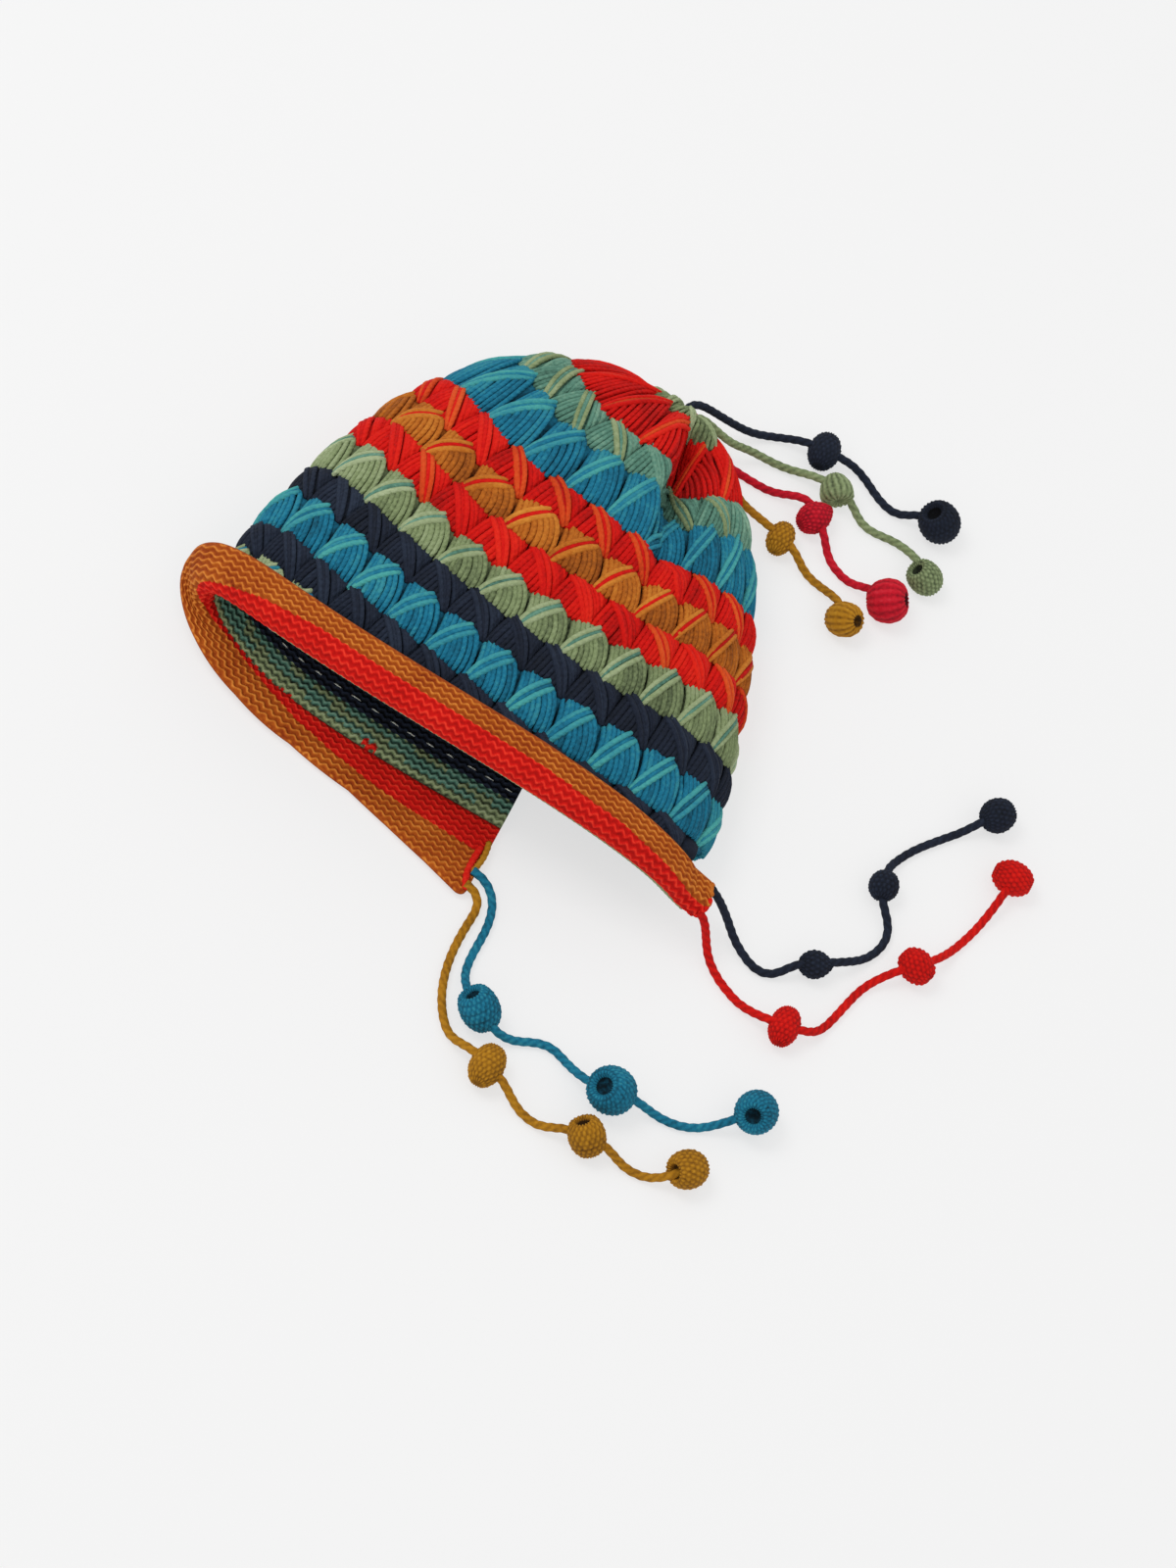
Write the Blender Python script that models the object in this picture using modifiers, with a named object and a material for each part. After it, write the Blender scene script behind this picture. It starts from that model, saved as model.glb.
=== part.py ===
# A chullo hat lying on its side: a hollow knitted crown of puffed rows, an ear band along its
# rim, and cords with hollow bobbles at the tip and at both ends of the band.
# The hat's own frame: X across the folded hat, +Y towards the tip, the mouth towards -Y,
# +Z up from the surface that it lies on. Lengths are in metres.

import math

import bmesh
import bpy
import numpy as np
from mathutils import Vector

# The hat's own frame in the scene: its axis and the line that the rows are counted from.
axis_x = 0.0021
rim_line_y = -0.0627

# The crown. The row tuck is how far the rows slip under the rolled band on the upper layer.
half_width = 0.1175
hat_height = 0.187
arch_height = 0.058
wall = 0.0040
puff_relief = 0.0022
puffs_round = 26
gather_radius = 0.0070
row_tuck = 0.0086

# The ear band. Its near end keeps a share of its slope, its droop, where it stands out past
# the crown.
band_thickness = 0.0030
band_width = 0.0260
curl_radius = 0.0053
band_lead = 0.0005
band_overhang = 0.0100
band_droop = 0.5
band_start_columns = 1

# Cords and bobbles.
cord_diameter = 0.0045
bobble_diameter = 0.0170
bobble_sides = 12
point_spacing = 0.0090
seat_gap = 0.0005
lift = 0.0003

# The puffed rows from the rim to the tip: colour, height of the row.
rows = [
    ("sage", 0.0140), ("navy", 0.0150), ("teal", 0.0200), ("navy", 0.0170),
    ("sage", 0.0190), ("red", 0.0160), ("ochre", 0.0210), ("red", 0.0160),
    ("teal", 0.0270), ("sage", 0.0220), ("red", 0.0230), ("sage", 0.0120),
]
notch_rows = 2

# The folded section at the rim, as shares: the height of each fold, and how square each layer is.
left_fold_rise = 0.42
right_fold_rise = 0.27
upper_power = 0.85
under_power = 0.45

# How far the rim reaches out at the right fold, as a share of half_width.
rim_right_side = 1.03

# The rim's arch as a share of arch_height.
rim_rise = 0.88

# The rim's distance from the row line, as shares of hat_height: in the middle and at both folds
# of each layer, and how late each layer turns up towards the left fold and the right one.
rim_shares = {
    "upper": {"middle": -0.118, "left": -0.014, "right": -0.112, "left_power": 4.3},
    "under": {"middle": -0.132, "left": -0.014, "right": -0.112, "left_power": 6.5},
}
right_power = 11

# The two handles of the curves that run from the rim to the tip. Side shares are of half_width,
# forward shares of hat_height, rise shares of arch_height.
handles = [
    {"left_side": 0.960, "right_side": 1.000,
     "left_forward": 0.425, "right_forward": 0.250, "upper_forward": 0.240, "under_forward": 0.240,
     "upper_rise": 1.140, "under_rise": -0.040},
    {"left_side": 0.690, "right_side": 0.690,
     "left_forward": 1.110, "right_forward": 0.930, "upper_forward": 0.900, "under_forward": 0.860,
     "upper_rise": 1.080, "under_rise": -0.240},
]
tip_side = 0.165
tip_rise = 0.450

# The valley fold on the upper layer, beside the gather: its line, its depth, and its width on
# the steep left side and the wide right side.
# Side shares are of half_width, forward shares of hat_height, the rest are of arch_height.
valley = {"top_side": 0.190, "low_side": 0.330, "top_forward": 0.960, "low_forward": 0.500,
          "depth": 0.230, "left_width": 0.085, "right_width": 0.200}

# How many quads the band has across its width, and how many of them are red.
band_quads = 8
red_quads = 5

# A bobble's profile from its open end: shares of the radius across and of half the length along.
bobble_table = [
    {"across": 0.00, "along": 0.72},
    {"across": 0.30, "along": 0.80},
    {"across": 0.42, "along": 1.00},
    {"across": 0.78, "along": 0.72},
    {"across": 1.00, "along": 0.10},
    {"across": 0.86, "along": -0.55},
    {"across": 0.45, "along": -0.92},
    {"across": 0.00, "along": -1.00},
]

# How far along half the bobble the next cord starts, inside the dimple.
dimple_seat = 0.83

# The band from its near end over the upper layer to its far end: place along the band,
# curl in degrees, share of the curl radius, share of the band width.
band_table = [
    {"place": 0.00, "curl": 200, "radius": 0.80, "width": 1.00},
    {"place": 0.10, "curl": 195, "radius": 0.90, "width": 1.12},
    {"place": 0.20, "curl": 192, "radius": 1.00, "width": 1.18},
    {"place": 0.50, "curl": 188, "radius": 1.08, "width": 1.20},
    {"place": 0.57, "curl": 165, "radius": 1.04, "width": 1.10},
    {"place": 0.62, "curl": 125, "radius": 0.80, "width": 0.86},
    {"place": 0.67, "curl": 70, "radius": 0.95, "width": 0.66},
    {"place": 0.72, "curl": 35, "radius": 1.60, "width": 0.60},
    {"place": 0.78, "curl": 8, "radius": 1.60, "width": 0.64},
    {"place": 0.85, "curl": 0, "radius": 1.60, "width": 0.80},
    {"place": 0.90, "curl": 0, "radius": 1.60, "width": 1.00},
    {"place": 0.95, "curl": 0, "radius": 1.60, "width": 1.22},
    {"place": 1.00, "curl": 0, "radius": 1.60, "width": 1.48},
]
band_end_side = 0.315

# Principled values of each yarn: base colour and roughness.
yarns = {
    "navy": ((0.013, 0.020, 0.036), 0.85),
    "sage": ((0.220, 0.310, 0.150), 0.85),
    "teal": ((0.015, 0.200, 0.310), 0.85),
    "red": ((0.640, 0.012, 0.008), 0.80),
    "crimson": ((0.480, 0.006, 0.024), 0.80),
    "ochre": ((0.480, 0.140, 0.012), 0.85),
    "mustard": ((0.390, 0.175, 0.009), 0.85),
}

# Each cord from its seat: yarn, where it starts, and its stretches. A stretch is the route's
# own points in millimetres in the hat's frame, laid on the surface unless a height is given,
# and the bobble at its end: middle, heading in degrees, share of bobble_diameter, length share.
cords = [
    {"name": "top", "yarn": "navy", "seat": ("tip", -0.36, 0.36), "stretches": [
        ([(19, 197, 27), (24, 201, 23), (31, 205, 17), (39, 209, 11), (48, 214, 5), (59, 221)],
         (80, 223), 5, 1.00, 1.00),
        ([(98, 227), (108, 221), (116, 217), (123, 216)], (141, 219), 5, 1.10, 0.95)]},
    {"name": "top", "yarn": "sage", "seat": ("tip", 0.36, 0.36), "stretches": [
        ([(28, 193, 25), (36, 195, 19), (43, 198, 13), (50, 203, 8), (58, 206, 4), (68, 208)],
         (93, 208), -8, 0.94, 0.96),
        ([(109, 203), (117, 201), (126, 203)], (147, 190), -48, 0.96, 0.90)]},
    {"name": "top", "yarn": "crimson", "seat": ("tip", -0.36, -0.50), "stretches": [
        ([(20, 197, 19), (26, 199, 13), (34, 197, 7), (44, 194), (56, 193), (68, 193)],
         (91, 190), -42, 1.00, 0.98),
        ([(105, 177), (112, 173), (119, 171)], (137, 168), -12, 1.10, 0.95)]},
    {"name": "top", "yarn": "mustard", "seat": ("tip", 0.36, -0.50), "stretches": [
        ([(27, 193, 17), (33, 192, 11), (40, 189, 5), (49, 186), (60, 180)],
         (82, 171), -15, 0.90, 0.98),
        ([(99, 164), (107, 162)], (124, 149), -55, 0.98, 0.96)]},
    {"name": "tie", "yarn": "navy", "seat": ("near", 0.80), "stretches": [
        ([(142, -14, 10), (148, -17, 4), (156, -21), (163, -24), (170, -22)],
         (184, -9), 35, 0.92, 1.25),
        ([(202, 8), (206, 18), (204, 28)], (194, 41), 105, 0.82, 1.00),
        ([(194, 57), (199, 67), (207, 78), (214, 87)], (224, 100), 55, 0.96, 1.00)]},
    {"name": "tie", "yarn": "red", "seat": ("near", 0.34), "stretches": [
        ([(138, -28, 10), (142, -31, 4), (151, -37), (163, -42)], (184, -43), 12, 0.98, 1.00),
        ([(199, -33), (203, -18), (207, -4)], (222, 14), 48, 0.94, 0.98),
        ([(234, 34), (239, 50)], (242, 76), 88, 1.00, 1.00)]},
    {"name": "tie", "yarn": "teal", "seat": ("far", 0.68), "stretches": [
        ([(49, -54), (53, -61), (55, -71), (55, -83), (56, -93)], (69, -108), -30, 1.06, 1.00),
        ([(87, -110), (96, -105), (103, -103), (110, -106)], (133, -111), 10, 1.20, 0.94),
        ([(155, -107), (165, -106), (174, -101)], (190, -86), 50, 1.10, 0.96)]},
    {"name": "tie", "yarn": "mustard", "seat": ("far", 0.86), "stretches": [
        ([(47, -61), (47, -71), (47, -84), (49, -98), (54, -111), (63, -122)],
         (83, -128), -18, 1.02, 0.98),
        ([(103, -136), (113, -138)], (133, -134), 6, 0.98, 0.96),
        ([(153, -135), (163, -134)], (176, -124), 52, 0.98, 1.00)]},
]


# The folded section: side share from -1 to 1 and height share from 0 to 1 at an angle that
# starts at the left fold and runs over the upper layer first.
def section(angle):
    side = -np.cos(angle)
    wave = np.abs(np.sin(angle))
    fold = left_fold_rise * (1 - side) / 2 + right_fold_rise * (1 + side) / 2
    upper = fold + (1 - fold) * wave ** upper_power
    under = fold * (1 - wave ** under_power)
    return side, np.where(np.sin(angle) >= 0, upper, under)


# Angles of the section at shares of the way round, the way measured in real length.
def section_angles(places):
    angle = np.linspace(0, 2 * math.pi, 1441)
    side, rise = section(angle)
    steps = np.hypot(np.diff(side) * half_width, np.diff(rise) * arch_height)
    way = np.concatenate(([0], np.cumsum(steps)))
    return np.interp(np.asarray(places) * way[-1], way, angle)


# The four points of the curve from the rim to the tip, at each angle.
def curve_points(angle):
    side, rise = section(angle)
    wave = np.abs(np.sin(angle))
    left = (1 - side) / 2
    over = np.sin(angle) >= 0
    upper_rim, under_rim = (
        layer["middle"] + (layer["left"] - layer["middle"]) * left ** layer["left_power"]
        + (layer["right"] - layer["middle"]) * (1 - left) ** right_power
        for layer in (rim_shares["upper"], rim_shares["under"]))
    blend = np.clip(0.5 + 2 * np.sin(angle), 0, 1)
    rim = (under_rim + (upper_rim - under_rim) * blend) * hat_height
    reach = left + rim_right_side * (1 - left)
    points = [np.stack([side * reach * half_width, rim, rise * rim_rise * arch_height], -1)]
    for row in handles:
        reach = row["left_side"] * left + row["right_side"] * (1 - left)
        folds = row["left_forward"] * left + row["right_forward"] * (1 - left)
        middle = np.where(over, row["upper_forward"], row["under_forward"])
        mean = (row["left_forward"] + row["right_forward"]) / 2
        forward = folds + (middle - mean) * wave ** 1.5
        height = row["under_rise"] + (row["upper_rise"] - row["under_rise"]) * rise
        points.append(np.stack([side * reach * half_width, forward * hat_height,
                                height * arch_height], -1))
    points.append(np.stack([tip_side * half_width + gather_radius * side,
                            np.full_like(side, hat_height),
                            tip_rise * arch_height + gather_radius * np.sin(angle)], -1))
    return points


# Depth of the valley fold at points of the upper layer: a bell across its line, with a narrow
# left half and a wide right half.
def valley_depth(points):
    forward = points[..., 1] / hat_height
    along = (valley["top_forward"] - forward) / (valley["top_forward"] - valley["low_forward"])
    line = valley["top_side"] + (valley["low_side"] - valley["top_side"]) * along
    across = (points[..., 0] - line * half_width) / arch_height
    across /= np.where(across < 0, valley["left_width"], valley["right_width"])
    fade = np.clip(1 - along, 0, 1) * np.clip(along * 6, 0, 1)
    fade *= np.clip((points[..., 2] / arch_height - 0.5) * 4, 0, 1)
    return valley["depth"] * arch_height * np.exp(-across ** 2) * fade


# Points of the crown's smooth outer surface at each angle (first axis) and at each distance
# from the rim (second axis). Far from the rim a longer curve spreads its rows, near the rim it
# keeps them, and on the upper layer the first row is squeezed under the rolled band.
def crown_surface(angle, distance):
    share = np.linspace(0, 1, 161)[None, :, None]
    start, first, second, end = (point[:, None, :] for point in curve_points(angle))
    curve = ((1 - share) ** 3 * start + 3 * (1 - share) ** 2 * share * first
             + 3 * (1 - share) * share ** 2 * second + share ** 3 * end)
    steps = np.linalg.norm(np.diff(curve, axis=1), axis=2)
    way = np.concatenate([np.zeros((len(angle), 1)), np.cumsum(steps, axis=1)], axis=1)
    full = sum(height for _, height in rows)
    distance = np.asarray(distance)
    out = np.empty((len(angle), len(distance), 3))
    tuck = row_tuck * np.maximum(np.sin(angle), 0) ** 3
    for column in range(len(angle)):
        spread = way[column, -1] - full + tuck[column]
        wanted = (distance - tuck[column] * np.minimum(distance / rows[0][1], 1)
                  + spread * (distance / full) ** 2)
        for axis in range(3):
            out[column, :, axis] = np.interp(wanted, way[column], curve[column, :, axis])
    out[..., 2] -= valley_depth(out)
    return out


# The crown's columns, two to a puff, as angles of the section.
def column_angles():
    columns = 2 * puffs_round
    return section_angles(np.arange(columns) / columns)


# The column where the band starts, beside the right fold.
def near_column():
    return puffs_round - band_start_columns


# The column where the band ends, on the under layer.
def far_column():
    side, _ = section(column_angles())
    under = np.arange(len(side)) > puffs_round
    return int(np.argmin(np.where(under, np.abs(side - band_end_side), 2)))


# Outward unit normals of a surface, from its steps round the hat and its steps to the tip.
def surface_normals(step_round, step_up):
    normals = np.cross(step_round, step_up)
    return normals / np.linalg.norm(normals, axis=-1, keepdims=True)


# Distances from the rim of the rows' borders and middles.
def ring_distances():
    borders = np.concatenate(([0], np.cumsum([height for _, height in rows])))
    middles = (borders[1:] + borders[:-1]) / 2
    return np.sort(np.concatenate([borders, middles]))


# The yarn's material, made once.
def make_material(yarn):
    color, roughness = yarns[yarn]
    material = bpy.data.materials.get(yarn)
    if material is None:
        material = bpy.data.materials.new(yarn)
        material.use_nodes = True
        shader = material.node_tree.nodes["Principled BSDF"]
        shader.inputs["Base Color"].default_value = (*color, 1)
        shader.inputs["Roughness"].default_value = roughness
        shader.inputs["Metallic"].default_value = 0
    return material


def add_object(name, data, yarns_used, parent, collection):
    part = bpy.data.objects.new(name, data)
    collection.objects.link(part)
    part.parent = parent
    for yarn in yarns_used:
        data.materials.append(make_material(yarn))
    return part


# A sheet of quads over an array of points: first axis round, second axis up.
def grid_mesh(name, points, closed, holes, row_materials):
    builder = bmesh.new()
    columns, rings = points.shape[:2]
    verts = [[builder.verts.new(points[i, j]) for j in range(rings)] for i in range(columns)]
    for i in range(columns if closed else columns - 1):
        for j in range(rings - 1):
            if (i, j) not in holes:
                after = (i + 1) % columns
                face = builder.faces.new((verts[i][j], verts[i][j + 1],
                                          verts[after][j + 1], verts[after][j]))
                face.material_index = row_materials[j]
    if closed:
        builder.faces.new([verts[i][-1] for i in range(columns)])
    loose = [vert for vert in builder.verts if not vert.link_faces]
    bmesh.ops.delete(builder, geom=loose, context="VERTS")
    bmesh.ops.recalc_face_normals(builder, faces=builder.faces)
    mesh = bpy.data.meshes.new(name)
    builder.to_mesh(mesh)
    builder.free()
    return mesh


# The crown: two columns a puff and two rings a row, raised in the middle of each puff and
# sunk at its corners, with the underside pressed flat, then thickened inwards.
def make_crown(parent, collection):
    columns = 2 * puffs_round
    angle = column_angles()
    rings = ring_distances()
    points = crown_surface(angle, rings)
    step_round = np.roll(points, -1, axis=0) - np.roll(points, 1, axis=0)
    normals = surface_normals(step_round, np.gradient(points, axis=1))
    puff = np.outer(np.arange(columns) % 2 * 2 - 1, np.ones(len(rings)))
    swell = puff + (np.arange(len(rings)) % 2 * 2 - 1)[None, :]
    spacing = np.linalg.norm(step_round, axis=2) / 2
    swell *= np.clip(spacing / spacing[:, :1].mean(), 0, 1) ** 2
    swell[:, -1] = 0
    points = points + normals * swell[..., None] * puff_relief / 2
    points[..., 2] = np.maximum(points[..., 2], 0)
    notch = range(near_column(), far_column())
    holes = {(i, j) for i in notch for j in range(2 * notch_rows)}
    used = sorted({yarn for yarn, _ in rows})
    row_yarns = [used.index(rows[j // 2][0]) for j in range(2 * len(rows))]
    mesh = grid_mesh("crown", points, True, holes, row_yarns)
    crown = add_object("crown", mesh, used, parent, collection)
    mesh.shade_smooth()
    solidify = crown.modifiers.new("wall", "SOLIDIFY")
    solidify.thickness = wall
    solidify.offset = -1
    return crown


# The ear band: stations at the crown's columns along the rim, from the right fold over the upper
# layer and the left fold to the far end, each with its middle, its way forward and outward.
def band_frames():
    columns = np.arange(near_column(), far_column() - 2 * puffs_round - 1, -1)
    angle = column_angles()
    points = crown_surface(angle, [0, 0.001])
    up = points[:, 1] - points[:, 0]
    up /= np.linalg.norm(up, axis=1, keepdims=True)
    rim = points[:, 0]
    outward = surface_normals(np.roll(rim, -1, axis=0) - np.roll(rim, 1, axis=0), up)
    along = np.linspace(0, 1, len(columns))
    return along, rim[columns], -up[columns], outward[columns]


# The way that the band turns over: outwards, and never down into the surface below.
def turning_way(outward):
    way = outward * [1, 1, 0] + [0, 0, max(outward[2], 0.001)]
    return way / np.linalg.norm(way)


# Points of the band's curled middle line, from the rim to the free edge.
def band_section(place, forward, outward):
    columns = [np.array([row[key] for row in band_table], float)
               for key in ("place", "curl", "radius", "width")]
    curl, radius, width = (np.interp(place, columns[0], column) for column in columns[1:])
    radius *= curl_radius
    width *= band_width
    arc = min(math.radians(curl), (width - band_lead) / radius)
    way = np.linspace(0, width, band_quads + 1)
    turn = np.clip((way - band_lead) / radius, 0, arc)
    rest = np.clip(way - band_lead - arc * radius, 0, None)
    ahead = np.minimum(way, band_lead) + radius * np.sin(turn) + rest * math.cos(arc)
    out = radius * (1 - np.cos(turn)) + rest * math.sin(arc)
    return ahead[:, None] * forward + out[:, None] * outward


# A direction made square to the path that it stands on.
def squared(direction, path):
    square = direction - path * np.dot(direction, path)
    return square / np.linalg.norm(square)


# The band's middle sheet, with two more stations where its near end stands out past the rim,
# square to the way that it points.
def band_points():
    along, rim, forward, outward = band_frames()
    leaving = (rim[0] - rim[1]) * [1, 1, band_droop]
    leaving /= np.linalg.norm(leaving)
    middle = rim[0] + leaving * band_overhang / 2
    rim = np.vstack([middle + leaving * band_overhang / 2, middle, rim])
    forward = np.vstack([squared(forward[0], leaving)] * 2 + [forward])
    outward = np.vstack([squared(outward[0], leaving)] * 2 + [outward])
    along = np.concatenate([[0, 0], along])
    start = rim + forward * seat_gap - outward * band_thickness / 2
    points = np.array([start[i] + band_section(along[i], forward[i], turning_way(outward[i]))
                       for i in range(len(along))])
    points[..., 2] = np.maximum(points[..., 2], band_thickness / 2)
    return points


def make_band(parent, collection):
    points = band_points()
    stripes = [0 if j < red_quads else 1 for j in range(band_quads)]
    mesh = grid_mesh("ear_band", points, False, set(), stripes)
    band = add_object("ear_band", mesh, ["red", "ochre"], parent, collection)
    mesh.shade_smooth()
    solidify = band.modifiers.new("wall", "SOLIDIFY")
    solidify.thickness = band_thickness
    solidify.offset = 0
    return band


# A turned bobble's profile: a ball with a dimple where it opens, and where the next cord starts.
def bobble_profile(radius, length):
    return [(radius * row["across"], length / 2 * row["along"]) for row in bobble_table]


def make_bobble(name, yarn, middle, heading, diameter, length, parent, collection):
    builder = bmesh.new()
    verts = [builder.verts.new((across, 0, along))
             for across, along in bobble_profile(diameter / 2, length)]
    for first, second in zip(verts, verts[1:]):
        builder.edges.new((first, second))
    mesh = bpy.data.meshes.new(name)
    builder.to_mesh(mesh)
    builder.free()
    bobble = add_object(name, mesh, [yarn], parent, collection)
    screw = bobble.modifiers.new("turn", "SCREW")
    screw.steps = bobble_sides
    screw.render_steps = bobble_sides
    screw.use_merge_vertices = True
    screw.merge_threshold = 0.00001
    screw.use_smooth_shade = True
    bobble.location = (middle[0], middle[1], diameter / 2)
    bobble.rotation_euler = (0, math.pi / 2, heading)
    return bobble


# A smooth curve through the inner route points (a centripetal Catmull-Rom spline), read at an
# even spacing. The first and the last point stay as given, so a cord meets its seat squarely.
def smooth_route(points):
    route = np.array(points, float)
    knots = np.concatenate(([0], np.cumsum(np.linalg.norm(np.diff(route, axis=0), axis=1) ** 0.5)))
    pieces = []
    for i in range(1, len(route) - 2):
        a, b, c, d = route[i - 1:i + 3]
        ka, kb, kc, kd = knots[i - 1:i + 3]
        k = np.linspace(kb, kc, 24, endpoint=False)[:, None]
        ab = (kb - k) / (kb - ka) * a + (k - ka) / (kb - ka) * b
        bc = (kc - k) / (kc - kb) * b + (k - kb) / (kc - kb) * c
        cd = (kd - k) / (kd - kc) * c + (k - kc) / (kd - kc) * d
        abc = (kc - k) / (kc - ka) * ab + (k - ka) / (kc - ka) * bc
        bcd = (kd - k) / (kd - kb) * bc + (k - kb) / (kd - kb) * cd
        pieces.append((kc - k) / (kc - kb) * abc + (k - kb) / (kc - kb) * bcd)
    curve = np.vstack(pieces + [route[-2:-1]])
    curve[:, 2] = np.maximum(curve[:, 2], cord_diameter / 2 + lift)
    way = np.concatenate(([0], np.cumsum(np.linalg.norm(np.diff(curve, axis=0), axis=1))))
    wanted = np.linspace(0, way[-1], max(3, round(way[-1] / point_spacing) + 1))
    inner = np.stack([np.interp(wanted, way, curve[:, axis]) for axis in range(3)], -1)
    return np.vstack([route[:1], inner, route[-1:]])


def make_cord(name, yarn, points, parent, collection):
    curve = bpy.data.curves.new(name, "CURVE")
    curve.dimensions = "3D"
    spline = curve.splines.new("POLY")
    route = smooth_route(points)
    spline.points.add(len(route) - 1)
    for point, place in zip(spline.points, route):
        point.co = (*place, 1)
    curve.bevel_depth = cord_diameter / 2
    curve.bevel_resolution = 2
    curve.use_fill_caps = True
    return add_object(name, curve, [yarn], parent, collection)


# Where a cord starts and the way it leaves: on the closing disc at the tip, or on an end face
# of the band at a share of the band's width.
def cord_seat(seat):
    if seat[0] == "tip":
        place = Vector((tip_side * half_width + seat[1] * gather_radius, hat_height + seat_gap,
                        tip_rise * arch_height + seat[2] * gather_radius))
        return place, Vector((0, 1, 0))
    points = band_points()
    end, inner = (points[0], points[1]) if seat[0] == "near" else (points[-1], points[-2])
    column = seat[1] * (len(end) - 1)
    place = Vector([np.interp(column, range(len(end)), end[:, axis]) for axis in range(3)])
    edge = end[int(column) + 1] - end[int(column)]
    away = Vector(squared((end - inner).mean(axis=0), edge / np.linalg.norm(edge)))
    place.z = max(place.z, cord_diameter / 2 + lift)
    return place + away * seat_gap, away


# A cord's stretches and bobbles: each stretch runs from its seat, or from the last bobble's far
# pole, through its route to the next bobble's near pole.
def make_cord_and_bobbles(cord, parent, collection):
    place, away = cord_seat(cord["seat"])
    low = cord_diameter / 2 + lift
    colour = "red" if cord["yarn"] == "crimson" else cord["yarn"]
    for number, (route, middle, heading, size, share) in enumerate(cord["stretches"], 1):
        diameter = size * bobble_diameter
        length = share * diameter
        turn = math.radians(heading)
        along = Vector((math.cos(turn), math.sin(turn), 0))
        centre = Vector((middle[0] / 1000, middle[1] / 1000, diameter / 2))
        points = [place, place + away * cord_diameter]
        points += [Vector((p[0] / 1000, p[1] / 1000, p[2] / 1000 if len(p) > 2 else low))
                   for p in route]
        pole = centre - along * (length / 2 + seat_gap)
        points += [pole - along * cord_diameter, pole]
        make_cord(f"{cord['name']}_cord_{colour}_{number}", cord["yarn"], points, parent,
                  collection)
        make_bobble(f"{cord['name']}_bobble_{colour}_{number}", cord["yarn"], centre, turn,
                    diameter, length, parent, collection)
        place = centre + along * (length / 2 * dimple_seat + seat_gap)
        away = along


def clear_scene():
    for leftover in list(bpy.data.objects):
        bpy.data.objects.remove(leftover, do_unlink=True)


def build_hat():
    clear_scene()
    collection = bpy.data.collections.new("chullo_hat")
    bpy.context.scene.collection.children.link(collection)
    frame = bpy.data.objects.new("hat_frame", None)
    frame.location = (axis_x, rim_line_y, 0)
    collection.objects.link(frame)
    make_crown(frame, collection)
    make_band(frame, collection)
    for cord in cords:
        make_cord_and_bobbles(cord, frame, collection)
    bpy.context.view_layer.update()


build_hat()
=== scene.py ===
# A chullo hat of thick wool, lying on its side: puffed rows of laid strands, a purl ear band,
# and crocheted cords with bobbles. Lengths are in metres. Run it in Blender 4.5.

import math

import bpy
import numpy as np
from mathutils import Matrix, Vector


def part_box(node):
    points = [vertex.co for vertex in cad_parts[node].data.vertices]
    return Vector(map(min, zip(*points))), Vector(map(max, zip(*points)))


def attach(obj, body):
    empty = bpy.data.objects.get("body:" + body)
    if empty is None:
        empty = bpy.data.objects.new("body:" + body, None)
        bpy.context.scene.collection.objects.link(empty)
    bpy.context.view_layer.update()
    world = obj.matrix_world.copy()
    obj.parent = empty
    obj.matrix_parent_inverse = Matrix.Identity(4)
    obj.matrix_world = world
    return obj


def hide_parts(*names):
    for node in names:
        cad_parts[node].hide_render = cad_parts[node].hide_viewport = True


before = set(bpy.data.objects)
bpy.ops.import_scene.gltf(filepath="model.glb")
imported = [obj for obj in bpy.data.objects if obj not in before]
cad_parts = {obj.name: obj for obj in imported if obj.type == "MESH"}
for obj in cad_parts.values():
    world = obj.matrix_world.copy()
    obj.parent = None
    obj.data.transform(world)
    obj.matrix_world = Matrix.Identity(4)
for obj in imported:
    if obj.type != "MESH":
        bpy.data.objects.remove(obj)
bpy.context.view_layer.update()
print("frame loaded")

# The camera: a long lens, 60 degrees above the table, rolled so that the hat lies aslant.
view = {
    "lens": 100,
    "sensor": 36,
    "distance": 1.867,
    "elevation": 60,
    "roll": 29.7,
    "sideways": 0.0617,
    "forward": 0.0160,
}

# The hat's form. Its own frame has its axis at axisX and its row line at rimLineY.
hat = {
    "axisX": 0.0021,
    "rimLineY": -0.0627,
    "halfWidth": 0.1175,
    "height": 0.187,
    "arch": 0.058,
    "gather": 0.0070,
    "tuck": 0.0086,             # how far the rows slip under the roll, on the upper layer
    "tableClearance": 0.0024,   # the flattened underside, to the middle of its strands
}

# How finely the form is worked out: steps of the section and of a curve from rim to tip, and
# the grid that is kept, round the crown and up it.
fineness = {"section": 2881, "curve": 161, "round": 720, "up": 221}

# The folded section: how high each fold is, and how square each layer is.
fold = {
    "leftRise": 0.42,
    "rightRise": 0.27,
    "upperPower": 0.85,
    "underPower": 0.45,
}

# The rim of each layer, as shares of the height.
rim = {
    "upper": {"middle": -0.118, "left": -0.014, "right": -0.112, "leftPower": 4.3},
    "under": {"middle": -0.132, "left": -0.014, "right": -0.112, "leftPower": 6.5},
    "rightPower": 11,
    "rightSide": 1.03,
    "rise": 0.88,
}

# Handles of the curves from rim to tip, and where the tip is.
handles = [
    {"leftSide": 0.960, "rightSide": 1.000, "leftForward": 0.425, "rightForward": 0.250,
     "upperForward": 0.240, "underForward": 0.240, "upperRise": 1.140, "underRise": -0.040},
    {"leftSide": 0.690, "rightSide": 0.690, "leftForward": 1.110, "rightForward": 0.930,
     "upperForward": 0.900, "underForward": 0.860, "upperRise": 1.080, "underRise": -0.240},
]
tip = {"side": 0.165, "rise": 0.450}

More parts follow.
